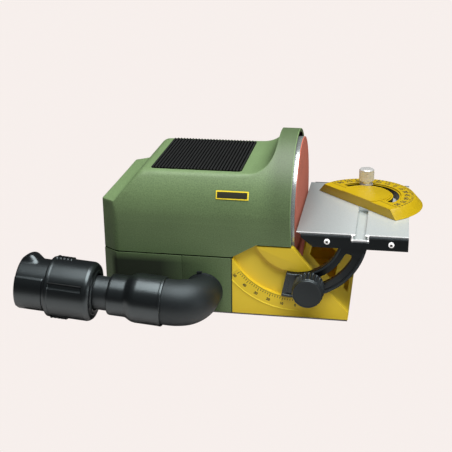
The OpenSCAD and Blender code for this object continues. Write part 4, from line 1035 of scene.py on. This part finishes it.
# Closed profiles of (radius, way along the outlet)
SLEEVE = [[20.85, 29.2], [21.8, 29.0], [22.6, 29.5], [22.6, 31.4], [22.45, 31.7], [22.45, 53.5], [21.7, 57.4],
    [19.4, 61.5], [18.75, 63.0], [18.75, 77.6], [18.0, 79.0], [15.6, 79.0], [15.6, 69.0], [13.4, 69.0],
    [13.4, 38.2], [16.5, 35.2], [20.85, 35.2]]
COLLAR = [[17.0, 91.6], [19.0, 91.5], [20.2, 92.8], [21.2, 92.4], [24.5, 92.6], [26.4, 95.0],
    *dense(97.0, 129.5, 27.0, 70), [27.0, 130.0], [27.5, 130.3], [27.5, 133.3], [26.7, 134.0],
    [24.15, 134.0], [24.15, 99.6], [17.0, 99.6]]
CUFF = [[15.6, 103.6], [23.0, 103.5], [23.8, 104.4], *dense(106, 160.7, 23.8, 76), [23.6, 161.6],
    [22.8, 162.0], [20.0, 162.0], [20.0, 124.6], [14.6, 124.6], [14.6, 111.6], [15.6, 111.6]]


def elbow():
    """Elbow: a circle carried along the outlet's bend, narrowing towards the flange at the wall."""
    bend, end = 25.0, 35.0
    across = -OUT_AXIS
    at_wall = np.array([PORT[0], -HALF_WIDTH, PORT[2]])
    straight = PORT + np.linspace(end, bend, 6)[:, None] * OUT_AXIS
    turn = np.linspace(0, np.pi / 2, 36)[:, None]
    round_way = np.sin(turn) * across - np.cos(turn) * Y_WAY
    centre = PORT + bend * Y_WAY + bend * OUT_AXIS
    last = np.linspace(PORT + (bend + 0.5) * Y_WAY, at_wall, 6)
    path = np.concatenate([straight, centre + bend * round_way, last])
    side = np.concatenate([np.tile(-Y_WAY, (6, 1)), round_way, np.tile(across, (6, 1))])
    way = np.concatenate([np.zeros(6), np.linspace(0, 1, 36), np.ones(6)])
    radius = 20.7 - 3.3 * smooth_step(way, 0.35, 1.05)
    angle = np.linspace(0, TAU, 96, endpoint=False)
    ring = np.cos(angle)[None, :, None] * side[:, None, :] + np.sin(angle)[None, :, None] * OUT_UP
    hose = path[:, None, :] + radius[:, None, None] * ring
    outline = rounded([[14.0, 0], [17.9, 0], [17.9, 2.2], [14.0, 2.2]], 0.6, 4)
    flange = lathe(outline, at_wall, -Y_WAY, across, OUT_UP, 96)
    lug = bars([at_wall + [-3.5, -1.4, 17.6]], 2.2 * X_WAY, 1.3 * Y_WAY, 1.7 * Z_WAY)
    return [tube(hose), tube(flange), lug]


class SANDER_OT_outlet(bpy.types.Operator):
    """Dust elbow, stepped sleeve, tube, twist collar and hose cuff"""

    bl_idname = "sander.outlet"
    bl_label = "Dust outlet"

    def execute(self, context):
        make_piece("elbow_smooth", elbow(), "matt", "base", ("dust_elbow",), 45)
        sleeve = outlet_lathe(SLEEVE, 1.5)
        make_piece("sleeve_smooth", [sleeve], "glossy", "base", ("outlet_sleeve",))
        soften("coupling_tube", "black", 0.3, "base")
        collar = outlet_lathe(COLLAR, 0.8, collar_swell, 240)
        make_piece("collar_smooth", [collar], "glossy", "collar", ("coupling_collar",), 45)
        cuff = outlet_lathe(CUFF, 0.7, cuff_swell, 200)
        make_piece("cuff_smooth", [cuff], "glossy", "base", ("hose_cuff",), 45)
        return {"FINISHED"}


class SANDER_OT_controls(bpy.types.Operator):
    """Switch, speed dial and cord gland on the rear wall"""

    bl_idname = "sander.controls"
    bl_label = "Controls"

    def execute(self, context):
        soften("switch_frame", "glossy", 0.4, "base")
        soften("switch_rocker", "glossy", 0.4, "rocker")
        soften("speed_dial", "black", 0.3, "dial")
        soften("cord_gland", "rubber", 0.4, "base")
        return {"FINISHED"}


# Stage, in metres in the row frame


def place_at(data, name, right, up, back, place):
    """A lamp or camera that looks away from back, with its picture's right and up ways."""
    turn = np.eye(4)
    turn[:3] = np.stack([right, up, back, place], -1)
    thing = add_object(name, data)
    thing.matrix_world = Matrix(turn.tolist())
    return thing


def soft_light(name, place, aim, size, energy):
    """A square area light that faces a point."""
    data = bpy.data.lights.new(name, "AREA")
    data.shape = "SQUARE"
    data.size = size
    data.energy = energy
    back = np.array(place) - np.array(aim)
    back = back / np.linalg.norm(back)
    right = np.cross([0.01, 1, 0.02], back)
    right = right / np.linalg.norm(right)
    place_at(data, name, right, np.cross(back, right), back, place)


def split_by_ray(tree, other, seen, output):
    """Camera rays get one shader, and all other rays another."""
    path = tree.nodes.new("ShaderNodeLightPath")
    mix = tree.nodes.new("ShaderNodeMixShader")
    tree.links.new(path.outputs["Is Camera Ray"], mix.inputs[0])
    tree.links.new(other.outputs[0], mix.inputs[1])
    tree.links.new(seen.outputs[0], mix.inputs[2])
    tree.links.new(mix.outputs[0], tree.nodes[output].inputs["Surface"])


def floor_paper(tint):
    """Floor: even paper to the camera, with painted shadow right under the machine. Reflections see a
    long painted pool of light beside the hose and dark elsewhere, and diffuse rays see an even middle tone."""
    floor = Finish("floor_paper")
    where = floor.place()
    pool_at, squeeze, inner, outer = (-0.05, -0.105, 0), 0.45, 0.05, 0.12
    stretched = floor.place((squeeze, 1, 1))
    far = floor.node("ShaderNodeVectorMath", stretched, pool_at, operation="DISTANCE", out="Value")
    diffuse = floor.node("ShaderNodeLightPath", out="Is Diffuse Ray")
    # Painted pool of light, seen only by reflections
    pool = floor.ramp(far, inner, outer, 1.0, 0.0) * (1 - diffuse) + diffuse * 0.45
    lit = floor.mix(floor.noise(where, 60.0), shade(tint, 0.82), shade(tint, 0.86))
    floor.set(Base_Color=floor.mix(pool, shade(tint, 0.09), lit), Roughness=0.9, Specular_IOR_Level=0.1)
    # Painted shadow over the plan of the machine's foot: a rectangle with its rear corners cut at a slope
    middle_x, middle_y, half_long, half_wide = 0.0025, 0.027, 0.1135, 0.0693
    slope, cut = 0.714, 0.139
    x = floor.part(where, 0)
    y = (floor.part(where, 1) - middle_y).math("ABSOLUTE")
    under = (x - middle_x).math("ABSOLUTE").math("LESS_THAN", half_long)
    under = under * y.math("LESS_THAN", half_wide) * (y - x * slope).math("LESS_THAN", cut)
    glow = floor.tree.nodes.new("ShaderNodeEmission")
    floor.put(glow.inputs["Color"], floor.mix(under, tint, shade(tint, 0.08)))
    split_by_ray(floor.tree, floor.shader, glow, "Material Output")
    return floor.material


def add_camera(scene):
    """Camera solved from the photograph: place, yaw, pitch and roll, square frame."""
    forward = np.array([-np.sin(YAW) * np.cos(PITCH), np.cos(YAW) * np.cos(PITCH), -np.sin(PITCH)])
    level = np.array([np.cos(YAW), np.sin(YAW), 0])
    over = np.cross(level, forward)
    right = np.cos(ROLL) * level + np.sin(ROLL) * over
    up = np.cos(ROLL) * over - np.sin(ROLL) * level
    data = bpy.data.cameras.new("camera")
    data.sensor_width = SENSOR_MM
    data.lens = SENSOR_MM * FOCAL_PX / FRAME_PX
    data.clip_start = 0.01
    scene.camera = place_at(data, "camera", right, up, -forward, to_row(EYE))


class SANDER_OT_stage(bpy.types.Operator):
    """Pale floor, soft studio light and the camera"""

    bl_idname = "sander.stage"
    bl_label = "Stage"

    def execute(self, context):
        scene = context.scene
        scene.view_settings.view_transform = "Standard"
        tint = scene.sander_colours.backdrop
        sizes = scene.sander_sizes
        world = bpy.data.worlds.new("studio")
        world.use_nodes = True
        scene.world = world
        sky = world.node_tree.nodes["Background"]
        sky.inputs["Color"].default_value = (1.0, 0.985, 0.975, 1)
        sky.inputs["Strength"].default_value = 0.03
        shown = world.node_tree.nodes.new("ShaderNodeBackground")
        shown.inputs["Color"].default_value = (*tint, 1)
        split_by_ray(world.node_tree, sky, shown, "World Output")
        reach, drop = 3, 0.0002
        span = np.linspace(-reach, reach, 5)
        x, y = np.meshgrid(span, span, indexing="ij")
        points, faces = grid(xyz(x, y, -drop))
        mesh = bpy.data.meshes.new("floor")
        mesh.from_pydata(points.tolist(), [], [f[::-1] for f in faces])
        mesh.materials.append(floor_paper(tint))
        ground = add_object("floor", mesh)
        soft_light("overhead", (0.22, -0.14, 1.15), (0, 0, 0.05), 1.05, sizes.key_power)
        soft_light("front", (-0.2, -1.4, 0.7), (0, 0, 0.08), 0.9, sizes.fill_power)
        soft_light("side", (0.7, -0.3, 0.12), (0.09, -0.02, 0.04), 0.3, sizes.side_power)
        add_camera(scene)
        return {"FINISHED"}


STEPS = (SANDER_OT_stage, SANDER_OT_casing, SANDER_OT_vent, SANDER_OT_side_plate, SANDER_OT_base,
    SANDER_OT_disc, SANDER_OT_table, SANDER_OT_clamp, SANDER_OT_gauge, SANDER_OT_outlet, SANDER_OT_controls)


class SANDER_PT_panel(bpy.types.Panel):
    """Lists the pieces of the sander"""

    bl_idname = "SANDER_PT_panel"
    bl_label = "Disc sander"
    bl_space_type = "VIEW_3D"
    bl_region_type = "UI"
    bl_category = "Sander"

    def draw(self, context):
        for step in STEPS:
            self.layout.operator(step.bl_idname)


CLASSES = (SanderColours, SanderSizes, *STEPS, SANDER_PT_panel)


def register():
    for item in CLASSES:
        bpy.utils.register_class(item)
    bpy.types.Scene.sander_colours = PointerProperty(type=SanderColours)
    bpy.types.Scene.sander_sizes = PointerProperty(type=SanderSizes)


def unregister():
    del bpy.types.Scene.sander_colours
    del bpy.types.Scene.sander_sizes
    for item in reversed(CLASSES):
        bpy.utils.unregister_class(item)


def main():
    register()
    for step in STEPS:
        group, name = step.bl_idname.split(".")
        getattr(getattr(bpy.ops, group), name)()


if __name__ == "__main__":
    main()
